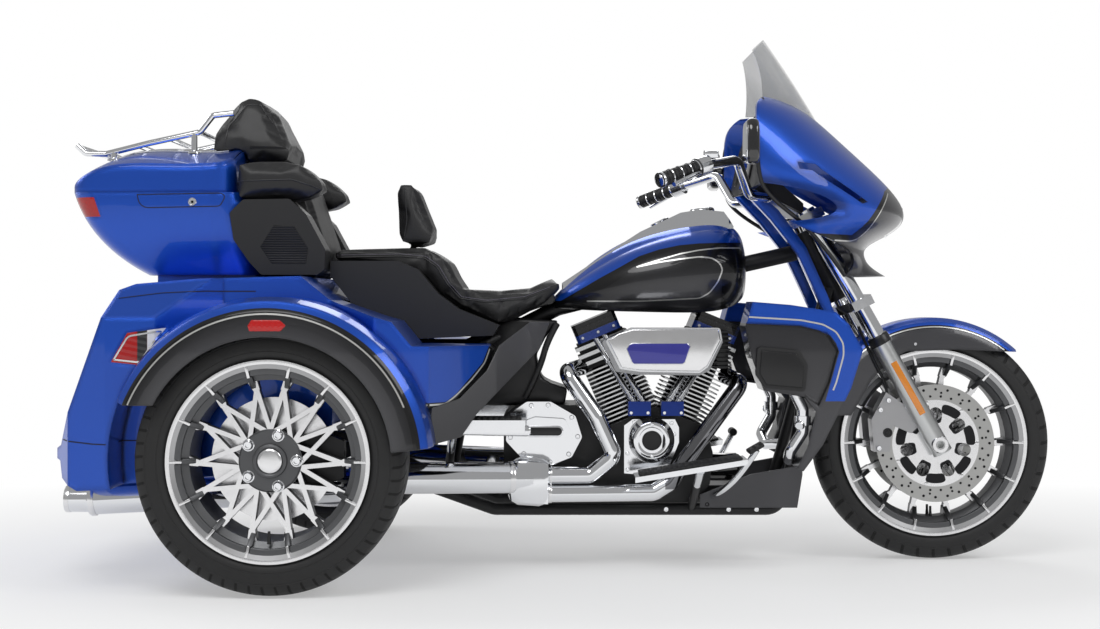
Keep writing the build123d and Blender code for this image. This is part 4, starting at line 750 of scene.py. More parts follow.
tailLamp = Finish("tailLamp", (0.45, 0.01, 0.008), roughness=0.2, coat=0.25)
redZone = edged(-0.990 - tailLamp.x).most(edged(0.85 - tailLamp.z) * edged(-1.046 - tailLamp.x))
whiteZone = edged(tailLamp.x + 1.018) * edged(0.85 - tailLamp.z)
ribs = (tailLamp.z * 420 + tailLamp.x * 90).wave()
lens = tailLamp.mix(whiteZone, (0.42, 0.003, 0.003), (0.75, 0.75, 0.77))
band = edged(0.012 - abs(tailLamp.x + 1.030)) * edged(0.85 - tailLamp.z)
tailLamp.feed("Base Color", tailLamp.mix(band, lens, (0.02, 0.02, 0.022)))
tailLamp.feed("Roughness", tailLamp.noise(30) * 0.06 + 0.08)
tailLamp.bump(ribs, 0.12, 0.0008)

smoke = Finish("smokeScreen", (0.26, 0.27, 0.28), roughness=0.04, coat=1.0, **{"IOR": 1.45})
rim = edged(abs(smoke.y) - 0.150, 0, 0.05)
smoke.feed("Alpha", 0.34 + rim * 0.16)
smoke.feed("Roughness", smoke.noise(8) * 0.04 + 0.03)

plainDress = {
    "bluePaint": (bluePaint, ["fork_covers", "tour_pack_base", "tour_pack_lid", "trunk_door"]),
    "charcoal": (charcoalPaint, ["chin_spoiler"]),
    "chrome": (chrome, ["engine_covers", "exhaust", "tank_console", "engine_guard", "luggage_rack", "handlebar"]),
    "polished": (polishedAlloy, ["fork", "front_calipers"]),
    "black": (blackCast, ["frame", "rear_axle", "crankcase"]),
    "moulded": (blackMoulded, ["seat_valance", "speaker_pods", "fairing_dash", "hand_controls", "mirrors"]),
    "leather": (leather, ["seat", "rider_backrest", "passenger_backrest", "passenger_cushions"]),
    "rubber": (rubber, ["front_tyre", "rear_tyre_right", "rear_tyre_left"]),
}
for finish, names in plainDress.values():
    for name in names:
        dress(name, finish)
dress("fuel_tank", tankPaint)
dress("fairing", fairingPaint)
dress("rear_fenders", rearFenderPaint)
dress("front_fender", frontFenderPaint)
dress("lower_fairings", shieldPaint)
dress("rear_body", bodyPaint)
dress("side_covers", coverFinish())
dress("cylinders", finnedCylinders())
dress("rocker_covers", rockerFinish())
dress("pushrods", pushrodFinish())
dress("air_cleaner", cleanerFinish())
dress("footboards", boardFinish())
dress("front_discs", frontDiscFinish())
dress("windshield", smoke)
dress("rear_lamps", tailLamp)
dress("headlamp", blackGloss)
rearAlloy = alloyFace("rearAlloy", 0.1075, 0.5575, 0.076)
for name in ("rear_rim_right", "rear_rim_left"):
    dress(name, rearAlloy)
dress("front_rim", alloyFace("frontAlloy", 0.065, 0.0, 0.02))
print("nodes dressed")

# Tyres with their grooves, standing for the plain ones

tyreSettings = {
    "rear": {"radius": 0.326, "half": 0.1075, "rim": 0.243, "grooves": (-0.062, -0.022, 0.022, 0.062), "blocks": 60},
    "front": {"radius": 0.322, "half": 0.065, "rim": 0.255, "grooves": (-0.018, 0.018), "blocks": 44},
    "grooveWidth": 0.007,
    "grooveDepth": 0.006,
}


def tyreRubber(name, centre, radius, half, middle, blocks):
    finish = Finish(name, (0.010, 0.010, 0.0105), roughness=0.6)
    reach = fromCentre(finish, centre)
    turn = (finish.z - centre[1]).angleTo(finish.x - centre[0]) / math.tau
    across = abs(finish.y - middle)
    cut = (turn * blocks + (across * 9 + blocks)).part()
    groove = edged(0.10 - abs(cut - 0.5), 0, 0.03)
    tread = edged(reach - (radius - 0.030), 0, 0.004)
    groove = groove * tread * edged(across - half * 0.30, 0, 0.002)
    rings = (edged(0.0012 - abs(reach - (radius - 0.034)), 0, 0.0006)).most(
        edged(0.0010 - abs(reach - (radius - 0.062)), 0, 0.0006))
    # the tread grooves are painted darker than the rubber around them, as painted shade in them
    finish.feed("Base Color", finish.mix(groove, (0.012, 0.012, 0.0125), (0.003, 0.003, 0.003)))
    finish.feed("Roughness", finish.noise(70) * 0.14 + (0.52 + groove * 0.2))
    return finish.bump(1 - groove.most(rings * 0.6) + finish.noise(700, 2.0) * 0.05, 0.8, 0.003)


def makeTyre(name, kind, nodeName, body, middle):
    s = tyreSettings[kind]
    w = wheelSettings[kind]
    half, radius, rimR = s["half"], s["radius"], s["rim"]
    bead = half - 0.0093
    edge = [(bead, rimR - 0.011), (bead, rimR + 0.001), (half - 0.004, rimR + 0.008), (half - 0.001, rimR + 0.016),
            (half - 0.0005, rimR + 0.028), (half - 0.002, radius - 0.034), (half - 0.005, radius - 0.024),
            (half - 0.010, radius - 0.014), (half - 0.017, radius - 0.0075)]
    tread = []
    wide, deep = tyreSettings["grooveWidth"] / 2, tyreSettings["grooveDepth"]
    crown = lambda y: radius - 0.0005 - 0.0045 * (abs(y) / (half - 0.017)) ** 2.5
    for g in sorted(s["grooves"], reverse=True):
        tread += [(g + wide, crown(g)), (g + wide - 0.001, radius - deep), (g - wide + 0.001, radius - deep),
                  (g - wide, crown(g))]
    if kind == "front":
        tread = [(0.036, crown(0.036))] + tread + [(-0.036, crown(0.036))]
    profile = edge + tread + [(-y, r) for y, r in reversed(edge)]
    centre = (w["centre"][0], middle, w["centre"][1])
    piece = turned(name, profile, centre, 120)
    dress(piece, tyreRubber(name + "Rubber", w["centre"], radius, half, middle, s["blocks"]))
    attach(piece, body)
    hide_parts(nodeName)


makeTyre("tyreRearRight", "rear", "rear_tyre_right", "rear_wheel_right", -0.5575)
makeTyre("tyreRearLeft", "rear", "rear_tyre_left", "rear_wheel_left", 0.5575)
makeTyre("tyreFront", "front", "front_tyre", "front_wheel", 0.0)
print("tyres turned")

# Rim details: bright lip, grey pads with bright bridges between them, ramps down to the spokes

greyCast = cast("wheelGreyCast", wheelGrey, 0.42, 0.75, 900)
machinedBright = brushed("machinedBright", machined, 0.2)


def strut(name, start, end, wide, thick, across, bevel=0.001):  # flat bar between two points
    start, end = Vector(start), Vector(end)
    way = (end - start).normalized()
    side = (Vector(across) - way * Vector(across).dot(way)).normalized()
    deep = way.cross(side)
    clearChoice()
    bpy.ops.mesh.primitive_cube_add(size=1)
    piece = bpy.context.object
    piece.name = name
    middle = (start + end) / 2
    long = (end - start).length
    for vertex in piece.data.vertices:
        vertex.co = middle + way * vertex.co.x * long + side * vertex.co.y * wide + deep * vertex.co.z * thick
    outward(piece)
    return rounded(piece, bevel)


def sectorOutline(centre, inner, outer, start, stop, steps=8):
    return arc(centre, outer, start, stop, steps) + list(reversed(arc(centre, inner, start, stop, steps)))


def around(piece, name, centre, count, body, first=0):  # copies turned about a wheel's axle, as one object
    group = [piece]
    for k in range(1, count):
        turn = (Matrix.Translation(Vector((centre[0], 0, centre[1]))) @ Matrix.Rotation(math.tau * k / count, 4, "Y")
                @ Matrix.Translation(Vector((-centre[0], 0, -centre[1]))))
        group.append(copyOf(piece, name + "Copy", turn))
    ring = together(name, group)
    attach(ring, body)
    return ring


def dressRim(label, kind, body, middle, side):
    w = wheelSettings[kind]
    centre, rimR, half = w["centre"], w["rim"], w["half"]
    face = middle + side * half
    at = lambda depth: face - side * depth
    full = (centre[0], 0, centre[1])
    lip = turned("rimLip" + label, [(at(0.006), rimR - 0.0108), (at(0.0008), rimR - 0.0098), (at(0.0002), rimR - 0.006),
                                    (at(0.0004), rimR - 0.0012), (at(0.006), rimR - 0.0008)], full, 128)
    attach(dress(lip, machinedBright), body)
    inner, outer = rimR - 0.0360, rimR - 0.0112
    pitch = 360 / wheelSettings["sectors"]
    pad = plate("rimPad", sectorOutline(centre, inner, outer, 90 - pitch / 2 + 1.1, 90 + pitch / 2 - 1.1),
                min(at(0.020), at(0.0065)), max(at(0.020), at(0.0065)), 0.0028, 3)
    dress(pad, greyCast)
    around(pad, "rimPads" + label, centre, 14, body)
    angle = math.radians(90 + pitch / 2)
    out = Vector((math.cos(angle), 0, math.sin(angle)))
    hub = Vector(full)
    bridge = strut("rimBridge", hub + out * (inner - 0.002) + Vector((0, at(0.0125), 0)),
                   hub + out * (rimR - 0.009) + Vector((0, at(0.0095), 0)), 0.007, 0.016, out.cross(Vector((0, 1, 0))))
    dress(bridge, machinedBright)
    around(bridge, "rimBridges" + label, centre, 14, body)
    spokeFace = 0.042 if kind == "rear" else half - 0.012
    ramp = strut("rimRamp", hub + out * (rimR * 0.735) + Vector((0, at(spokeFace + 0.010), 0)),
                 hub + out * (inner + 0.004) + Vector((0, at(0.020), 0)), 0.013, 0.016,
                 out.cross(Vector((0, 1, 0))), 0.0025)
    dress(ramp, greyCast)
    around(ramp, "rimRamps" + label, centre, 14, body)
    stemAt = hub + Vector((0, at(0.026 if kind == "rear" else 0.045), -(rimR - 0.046)))
    stem = turned("valveStem" + label, [(0, 0), (0, 0.0048), (0.012, 0.0040), (0.020, 0.0034), (0.030, 0.0034),
                                        (0.031, 0)], stemAt, 16, (0, 0, 1), True)
    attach(dress(stem, rubber), body)


def dressRearHub(label, body, side):
    centre = wheelSettings["rear"]["centre"]
    face = side * (0.5575 + 0.1075 - 0.042)
    out = (0, side, 0)
    at = (centre[0], face, centre[1])
    hubPlate = turned("hubPlate" + label, [(0.0, 0.030), (0.0035, 0.0315), (0.0035, 0.072), (0.0, 0.0755)], at, 96, out)
    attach(dress(hubPlate, greyCast), body)
    collar = turned("hubCollar" + label, [(0.002, 0.0305), (0.010, 0.0315), (0.0115, 0.035), (0.0095, 0.040),
                                          (0.002, 0.0425)], at, 72, out)
    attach(dress(collar, greyCast), body)
    cap = turned("hubCap" + label, [(0.0095, 0), (0.0125, 0.0), (0.0128, 0.022), (0.0118, 0.027), (0.0095, 0.0295)],
                 at, 64, out)
    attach(dress(cap, machinedBright), body)
    nut = turned("lugNut", [(0.002, 0), (0.002, 0.0150), (0.0045, 0.0150), (0.0055, 0.0125), (0.015, 0.0105),
                            (0.0165, 0.0092), (0.0165, 0.0062), (0.010, 0.0058), (0.010, 0)],
                 (centre[0] + 0.064, face, centre[1]), 12, out, True)
    dress(nut, chrome)
    around(nut, "lugNuts" + label, centre, 5, body)


for label, side in (("Right", -1), ("Left", 1)):
    body = "rear_wheel_" + label.lower()
    dressRim("Rear" + label, "rear", body, side * 0.5575, side)
    dressRearHub(label, body, side)
    dressRim("Front" + label, "front", "front_wheel", 0.0, side)
    axleCap = turned("axleCap" + label, [(-0.004, 0.0092), (0.0015, 0.0095), (0.0025, 0.011), (0.0025, 0.0205),
                                         (-0.004, 0.0235)], (1.0, side * 0.1395, 0.322), 48, (0, side, 0))
    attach(dress(axleCap, machinedBright), "steering")
    rivet = turned("discRivet", [(0, 0), (0, 0.006), (0.0012, 0.0055), (0.0018, 0.003), (0.0018, 0)],
                   (1.0 + 0.113, side * 0.083, 0.322), 12, (0, side, 0), True)
    dress(rivet, machinedBright)
    around(rivet, "discRivets" + label, (1.0, 0.322), 7, "front_wheel")
print("wheels detailed")

# Cushions and pads: swollen by cloth pressure, then given their seams

padSettings = {
    "voxel": 0.005,
    "pressure": 4.0,
    "frames": 20,
    "seat": {"shrink": 0.004, "cap": 0.010},
    "small": {"shrink": 0.004, "cap": 0.009},
}


def swell(piece, shrink, cap):  # cloth pressure from inside, no further than the cap
    hold(piece)
    piece.data.remesh_voxel_size = padSettings["voxel"]
    bpy.ops.object.voxel_remesh()
    applied(piece, "SMOOTH", factor=0.5, iterations=6)
    applied(piece, "DISPLACE", strength=-shrink, mid_level=0)
    start = [vertex.co.copy() for vertex in piece.data.vertices]
    cloth = piece.modifiers.new("Cloth", "CLOTH")
    cloth.settings.quality = 4
    cloth.settings.mass = 0.3
    cloth.settings.tension_stiffness = 12
    cloth.settings.compression_stiffness = 12
    cloth.settings.bending_stiffness = 0.4
    cloth.settings.use_pressure = True
    cloth.settings.uniform_pressure_force = padSettings["pressure"]
    cloth.settings.effector_weights.gravity = 0
    cloth.collision_settings.use_collision = False
    for step in range(1, padSettings["frames"] + 1):
        bpy.context.scene.frame_set(step)
    hold(piece)
    bpy.ops.object.modifier_apply(modifier="Cloth")
    bpy.context.scene.frame_set(1)
    for vertex, first in zip(piece.data.vertices, start):
        move = vertex.co - first
        if move.length > cap:
            vertex.co = first + move.normalized() * cap
    applied(piece, "SMOOTH", factor=0.4, iterations=3)
    return piece


def softCopy(name, nodeName, size):
    source = nodes[nodeName]
    piece = copyOf(source, name, Matrix.Identity(4))
    piece.parent = None
    outward(piece)
    clearChoice()
    piece.select_set(True)
    bpy.context.view_layer.objects.active = piece
    bpy.ops.object.mode_set(mode="EDIT")
    bpy.ops.mesh.separate(type="LOOSE")
    bpy.ops.object.mode_set(mode="OBJECT")
    shells = list(bpy.context.selected_objects)
    for shell in shells:
        swell(shell, padSettings[size]["shrink"], padSettings[size]["cap"])
    piece = together(name, shells)
    smooth(piece, 60)
    return piece


def lyingOn(target, points, side, fromY=0.9, step=0.01):  # a side-view line carried onto a piece
    spots = []
    for (x0, z0), (x1, z1) in zip(points, points[1:]):
        count = max(1, round(math.hypot(x1 - x0, z1 - z0) / step))
        for k in range(count + (1 if (x1, z1) == points[-1] else 0)):
            x, z = x0 + (x1 - x0) * k / count, z0 + (z1 - z0) * k / count
            hit, where, normal, _ = target.ray_cast(Vector((x, side * fromY, z)), Vector((0, -side, 0)))
            if hit:
                spots.append(where)
    return spots


def seam(name, target, points, body, radius=0.0017, finish=None):
    for label, side in (("Right", -1), ("Left", 1)):
        spots = lyingOn(target, points, side)
        if len(spots) > 3:
            line = pipe(name + label, spots, radius, sides=6)
            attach(dress(line, finish or leather), body)


welt = Finish("welt", (0.020, 0.020, 0.022), roughness=0.4)
welt.feed("Roughness", welt.noise(60) * 0.1 + 0.35)
thread = Finish("thread", (0.16, 0.15, 0.19), roughness=0.6)
thread.feed("Roughness", thread.noise(900) * 0.2 + 0.5)
seatPad = softCopy("seatPad", "seat", "seat")
backPad = softCopy("riderBackPad", "rider_backrest", "small")
highPad = softCopy("passengerBackPad", "passenger_backrest", "small")
passengerPads = softCopy("passengerPads", "passenger_cushions", "small")
for piece, nodeName, body in ((seatPad, "seat", "chassis"), (backPad, "rider_backrest", "chassis"),
                              (highPad, "passenger_backrest", "tour_pack_lid"),
                              (passengerPads, "passenger_cushions", "chassis")):
    dress(piece, leather)
    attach(piece, body)
    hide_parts(nodeName)
seam("seatPiping", seatPad, [(-0.62, 0.826), (-0.45, 0.829), (-0.385, 0.823), (-0.352, 0.800), (-0.325, 0.755),
                             (-0.29, 0.716), (-0.22, 0.706), (-0.12, 0.715), (-0.05, 0.742)], "chassis", 0.0020, welt)
seam("seatStitch", seatPad, [(-0.62, 0.832), (-0.45, 0.835), (-0.382, 0.829), (-0.347, 0.804), (-0.319, 0.758),
                             (-0.286, 0.721), (-0.22, 0.711), (-0.12, 0.721), (-0.05, 0.748)], "chassis", 0.0007, thread)
seam("backPiping", backPad, [(-0.445, 0.885), (-0.438, 0.93), (-0.444, 1.015)], "chassis", 0.0018, welt)
seam("armSeam", passengerPads, [(-0.855, 1.020), (-0.720, 1.024), (-0.668, 1.008), (-0.645, 0.998)], "chassis", 0.0018,
     welt)
seam("highPadPiping", highPad, [(-0.925, 1.115), (-0.915, 1.18), (-0.870, 1.240), (-0.835, 1.240), (-0.80, 1.19)],
     "tour_pack_lid", 0.0018, welt)
print("cushions filled")

# Engine trim: bolts, covers and the plate on the air cleaner

engineSettings = {
    "caseFace": -0.150,
    "gearFace": -0.166,
    "camCentre": (0.221, 0.338),
    "camBolts": [(0.176, 0.384), (0.223, 0.3845), (0.276, 0.382), (0.158, 0.300), (0.158, 0.257), (0.283, 0.352)],
    "gearBolts": [(-0.100, 0.430), (-0.055, 0.431), (0.008, 0.398), (0.024, 0.347), (0.000, 0.300), (-0.050, 0.279),
                  (-0.120, 0.301), (-0.156, 0.345), (-0.150, 0.398)],
    "insert": [(0.151, 0.584), (0.158, 0.595), (0.166, 0.598), (0.309, 0.598), (0.316, 0.590), (0.302, 0.549),
               (0.296, 0.545), (0.170, 0.545), (0.165, 0.549)],
}
violet = (0.030, 0.030, 0.30)
blackSatin = moulded("blackSatin", (0.008, 0.008, 0.009), 0.35)
insertPaint = Finish("insertPaint", violet, metallic=0.3, roughness=0.3, coat=0.8)
insertPaint.feed("Roughness", insertPaint.noise(80) * 0.15 + 0.25)


def boltHead(at, radius, axis=(0, -1, 0), height=0.005):  # domed head with a socket
    return dress(turned("boltHead", [(0, 0), (0, radius), (height * 0.6, radius), (height, radius * 0.8),
                                     (height, radius * 0.5), (height * 0.4, radius * 0.45), (height * 0.4, 0)],
                        at, 12, axis, True), chrome)


def boltRow(name, spots, face, body, radius=0.0062, bothSides=False):
    heads = [boltHead((x, face, z), radius) for x, z in spots]
    if bothSides:
        heads += [mirrored(head, "boltHead") for head in list(heads)]
    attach(together(name, heads), body)


def stadium(x0, x1, z, half, steps=8):
    left = arc((x0 + half, z), half, 270, 90, steps)
    right = arc((x1 - half, z), half, 90, -90, steps)
    return left + right


boltRow("camCoverBolts", engineSettings["camBolts"], engineSettings["caseFace"], "chassis", 0.0055)
boltRow("gearCoverBolts", engineSettings["gearBolts"], engineSettings["gearFace"], "chassis", 0.0065)
cam = engineSettings["camCentre"]
camRing = turned("camRing", [(0, 0.0335), (0.004, 0.0345), (0.005, 0.0375), (0.005, 0.0455), (0.0035, 0.0485),
                             (0, 0.0495)], (cam[0], -0.188, cam[1]), 96, (0, -1, 0))
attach(dress(camRing, chrome), "chassis")
camDisc = turned("camDisc", [(0, 0), (0.0025, 0), (0.0025, 0.0225), (0.004, 0.0235), (0.004, 0.0255), (0.0, 0.0265)],
                 (cam[0], -0.188, cam[1]), 72, (0, -1, 0))
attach(dress(camDisc, blackSatin), "chassis")
camInset = plate("camInset", [(0.252, 0.362), (0.272, 0.366), (0.279, 0.357), (0.279, 0.332), (0.262, 0.318),
                              (0.248, 0.318)], -0.1925, -0.1865, 0.0015)
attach(dress(camInset, blackSatin), "chassis")
boltRow("camDiscBolts", [(0.221, 0.3795), (0.221, 0.2965)], -0.192, "chassis", 0.0045)
gearBezel = plate("gearBezel", stadium(-0.117, -0.014, 0.362, 0.0150), -0.1875, -0.183, 0.0015)
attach(dress(gearBezel, chrome), "chassis")
gearSlot = plate("gearSlot", stadium(-0.113, -0.018, 0.362, 0.0108), -0.1885, -0.1865, 0.0008)
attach(dress(gearSlot, blackSatin), "chassis")
guardRail = plate("guardRail", [(-0.335, 0.386), (-0.112, 0.378), (-0.100, 0.371), (-0.100, 0.356), (-0.112, 0.350),
                                (-0.335, 0.354)], -0.202, -0.178, 0.004, 3)
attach(dress(guardRail, chrome), "chassis")
guardSlot = plate("guardSlot", stadium(-0.325, -0.135, 0.367, 0.0042), -0.2035, -0.2005, 0.0006)
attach(dress(guardSlot, blackSatin), "chassis")

cleanerPlate = plate("cleanerPlate", [(0.102, 0.605), (0.128, 0.624), (0.166, 0.635), (0.391, 0.635), (0.396, 0.606),
                                      (0.361, 0.540), (0.341, 0.525), (0.188, 0.528), (0.137, 0.535)],
                     -0.2665, -0.2605, 0.003, 3)
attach(dress(cleanerPlate, machinedBright), "chassis")
cleanerInsert = plate("cleanerInsert", engineSettings["insert"], -0.2690, -0.2655, 0.0012)
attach(dress(cleanerInsert, insertPaint), "chassis")
insertRim = pipe("insertRim", [(x, -0.2668, z) for x, z in engineSettings["insert"]], 0.0016, True, False, 6)
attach(dress(insertRim, chrome), "chassis")
fins = []
for k in range(9):
    fins.append(plate("coolerFin", [(0.386, 0.532 + k * 0.0115), (0.430, 0.532 + k * 0.0115),
                                    (0.430, 0.5365 + k * 0.0115), (0.386, 0.5365 + k * 0.0115)], -0.198, -0.120, 0.0006, 1))
fins.append(plate("coolerCore", [(0.392, 0.530), (0.424, 0.530), (0.424, 0.630), (0.392, 0.630)], -0.190, -0.118, 0.003))
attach(dress(together("coolerFins", fins), blackSatin), "chassis")

pushrodEnds = []
for blockX, lean in ((0.190, -1), (0.278, 1)):
    for offset in (-0.013, 0.013):
        foot = Vector((blockX + offset, -0.144, 0.433))
        top = Vector((0.238 + lean * 0.1531 + 0.9239 * offset, -0.090, 0.6146 - lean * 0.3827 * offset))
        way = (top - foot).normalized()
        for share in (0.06, 0.16, 0.62):
            at = foot + (top - foot) * share
            pushrodEnds.append(turned("pushrodCollar", [(0, 0.0092), (0.001, 0.0118), (0.007, 0.0118), (0.008, 0.0092)],
                                      at, 20, way))
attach(dress(together("pushrodCollars", pushrodEnds), chrome), "chassis")
boltRow("tappetBolts", [(0.167, 0.410), (0.212, 0.410), (0.256, 0.410), (0.301, 0.410)], -0.162, "chassis", 0.0050)
rockerBolts = []
for lean in (-1, 1):
    turn = math.radians(22.5) * lean
    up, along = Vector((math.sin(turn), 0, math.cos(turn))), Vector((math.cos(turn), 0, -math.sin(turn)))
    base = Vector((0.238, 0, 0.245))
    for shift in (-0.045, 0, 0.045):
        at = base + up * 0.412 + along * shift
        rockerBolts.append(boltHead((at.x, -0.104, at.z), 0.0045))
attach(together("rockerBolts", rockerBolts + [mirrored(b, "rockerBolt") for b in list(rockerBolts)]), "chassis")
filter_ = turned("oilFilter", [(0, 0), (0, 0.036), (0.006, 0.038), (0.074, 0.038), (0.080, 0.034), (0.080, 0)],
                 (0.385, -0.052, 0.255), 48, (1, 0, 0), True)
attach(dress(filter_, blackGloss), "chassis")
primaryRing = turned("primaryRing", [(0, 0.052), (0.004, 0.053), (0.005, 0.058), (0.005, 0.068), (0, 0.0735)],
                     (0.238, 0.184, 0.290), 96, (0, 1, 0))
clutchRing = turned("clutchRing", [(0, 0.040), (0.004, 0.041), (0.005, 0.046), (0.005, 0.058), (0, 0.0635)],
                    (-0.070, 0.184, 0.330), 96, (0, 1, 0))
primaryBolts = together("primaryBolts", [boltHead((x, 0.170, z), 0.006, (0, 1, 0)) for x, z in (
    (-0.140, 0.270), (-0.150, 0.380), (-0.080, 0.412), (0.020, 0.388), (0.130, 0.378), (0.240, 0.374), (0.340, 0.356),
    (0.368, 0.300), (0.340, 0.230), (0.240, 0.203), (0.120, 0.204), (0.000, 0.216))])
for piece in (primaryRing, clutchRing, primaryBolts):
    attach(dress(piece, chrome), "chassis")
print("engine trimmed")

# Exhaust, boards and pedals

exhaustFinish = Finish("exhaustFinish", (0.80, 0.81, 0.83), metallic=1.0, roughness=0.08)
f = exhaustFinish
offY, offZ = abs(f.y) - 0.320, f.z - 0.199
# the tips' bores are painted dark, as painted shade inside the pipes
bore = edged(0.0294 - (offY * offY + offZ * offZ).root(), 0, 0.0005) * edged(-1.20 - f.x)
# the front pipes, ahead of x 0.255 and above z 0.21, are painted much darker than the chrome
frontPipe = edged(f.x - 0.255) * edged(f.z - 0.21)
dark = bore
frontPipesDarker = f.mix(frontPipe * 0.85, (0.80, 0.81, 0.83), (0.10, 0.10, 0.11))
f.feed("Base Color", f.mix(dark, frontPipesDarker, (0.012, 0.012, 0.013)))
f.feed("Metallic", 1 - dark * 0.6)
f.feed("Roughness", dark * 0.4 + (f.noise(9, 4.0) * 0.06 + 0.06))
dress("exhaust", exhaustFinish)
collector = strut("collector", (-0.048, -0.219, 0.229), (-0.158, -0.2205, 0.237), 0.124, 0.082, (0, 0, 1), 0.026)
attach(dress(collector, exhaustFinish), "chassis")
bands = []
for at, axis, radius in (((-0.052, -0.215, 0.248), (1, 0, 0), 0.0235), ((-0.052, -0.213, 0.2015), (1, 0, 0), 0.0235),
                         ((-0.152, -0.231, 0.2435), (-1, -0.17, 0), 0.0412), ((-0.560, -0.313, 0.236), (-1, -0.25, -0.1), 0.0412),
                         ((-0.980, -0.320, 0.213), (-1, 0, -0.05), 0.0412), ((-1.225, -0.320, 0.1995), (-1, 0, -0.05), 0.0412)):
    bands.append(turned("pipeBand", [(-0.007, radius - 0.001), (-0.007, radius + 0.002), (-0.005, radius + 0.003),
                                     (0.005, radius + 0.003), (0.007, radius + 0.002), (0.007, radius - 0.001)],
                        at, 48, Vector(axis).normalized()))
bands += [mirrored(band, "pipeBand") for band in bands[3:]]
for side in (-1, 1):
    bands.append(turned("tipLip", [(0.004, 0.0292), (-0.0015, 0.0296), (-0.003, 0.0315), (-0.0015, 0.0345), (0.004, 0.0352),
                                   (0.010, 0.0345)], (-1.2935, side * 0.320, 0.199), 48, (1, 0, 0)))
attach(dress(together("pipeBands", bands), machinedBright), "chassis")

ribbed = Finish("ribbedRubber", (0.014, 0.014, 0.015), roughness=0.6)
ribbed.feed("Roughness", ribbed.noise(60) * 0.12 + 0.55)
ribbed.bump((ribbed.x * 420).wave(), 0.7, 0.002)
riderPad = plate("riderBoardPad", [(0.180, 0.2610), (0.444, 0.3030), (0.443, 0.3090), (0.180, 0.2670)], -0.358, -0.250,
                 0.002)
passengerPad = plate("passengerBoardPad", [(-0.352, 0.4035), (-0.124, 0.4035), (-0.124, 0.4090), (-0.352, 0.4090)],
                     -0.356, -0.258, 0.002)
for piece in (riderPad, passengerPad):
    dress(piece, ribbed)
    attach(piece, "chassis")
    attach(dress(mirrored(piece, piece.name + "Left"), ribbed), "chassis")
pedalArm = pipe("pedalArm", [(0.385, -0.140, 0.185), (0.400, -0.215, 0.200), (0.455, -0.262, 0.262), (0.488, -0.285, 0.322)],
                0.008, sides=12)
pedalPad = plate("pedalPad", [(0.466, 0.312), (0.504, 0.334), (0.500, 0.343), (0.462, 0.321)], -0.325, -0.255, 0.003)
shiftArm = mirrored(pedalArm, "shiftArm")
shiftPeg = turned("shiftPeg", [(0, 0), (0, 0.011), (0.052, 0.011), (0.055, 0.008), (0.055, 0)], (0.488, 0.262, 0.325),
                  24, (0, 1, 0), True)
for piece, finish in ((pedalArm, chrome), (shiftArm, chrome), (pedalPad, ribbed), (shiftPeg, ribbed)):
    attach(dress(piece, finish), "chassis")
for side, label in ((-1, "Right"), (1, "Left")):
    clampRing = turned("pegClamp" + label, [(-0.012, 0.0148), (-0.012, 0.0205), (0.012, 0.0205), (0.012, 0.0148)],
                       (0.604, side * 0.308, 0.400), 32, (0, 0, 1))
    peg = turned("highwayPeg" + label, [(0, 0), (0, 0.010), (0.010, 0.013), (0.016, 0.0135), (0.026, 0.0120),
                                        (0.032, 0.0135), (0.038, 0.010), (0.038, 0)], (0.604, side * 0.302, 0.400),
                 24, (-0.35, side * 0.75, -0.35), True)
    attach(dress(clampRing, chrome), "chassis")
    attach(dress(peg, chrome), "chassis")
boltRow("bracketBolts", [(0.330, 0.180), (0.372, 0.163), (0.262, 0.150), (0.430, 0.150), (0.505, 0.150)], -0.141, "chassis",
        0.007, True)
print("exhaust and boards done")

# Fairing, screen, dash, lamps and mirrors

fairingSettings = {
    "rearEdge": [(0.740, 0.150, 0.778), (0.640, 0.298, 0.885), (0.493, 0.386, 0.985), (0.475, 0.403, 1.050),
                 (0.475, 0.403, 1.110), (0.476, 0.391, 1.176), (0.500, 0.305, 1.232)],
    "gasket": [(0.520, -0.196, 1.222), (0.585, -0.172, 1.206), (0.648, -0.118, 1.184), (0.690, -0.058, 1.170),
               (0.704, 0.0, 1.166), (0.690, 0.058, 1.170), (0.648, 0.118, 1.184), (0.585, 0.172, 1.206),
               (0.520, 0.196, 1.222)],
    "dials": [(-0.058, 1.150, 0.044), (0.058, 1.150, 0.044), (-0.150, 1.165, 0.030), (0.150, 1.165, 0.030)],
    "dashSlope": (46 / 224),
}


def dashFace(y, z):  # place on the dash's rider side
    return Vector((0.4878 + (z - 1.012) * fairingSettings["dashSlope"], y, z))


for label, side in (("Right", -1), ("Left", 1)):
    trim = pipe("fairingTrim" + label, [(x, side * y, z) for x, y, z in fairingSettings["rearEdge"]], 0.0055, sides=10)
    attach(dress(trim, blackSatin), "steering")
gasket = pipe("screenGasket", fairingSettings["gasket"], 0.0075, sides=10)
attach(dress(gasket, blackSatin), "steering")

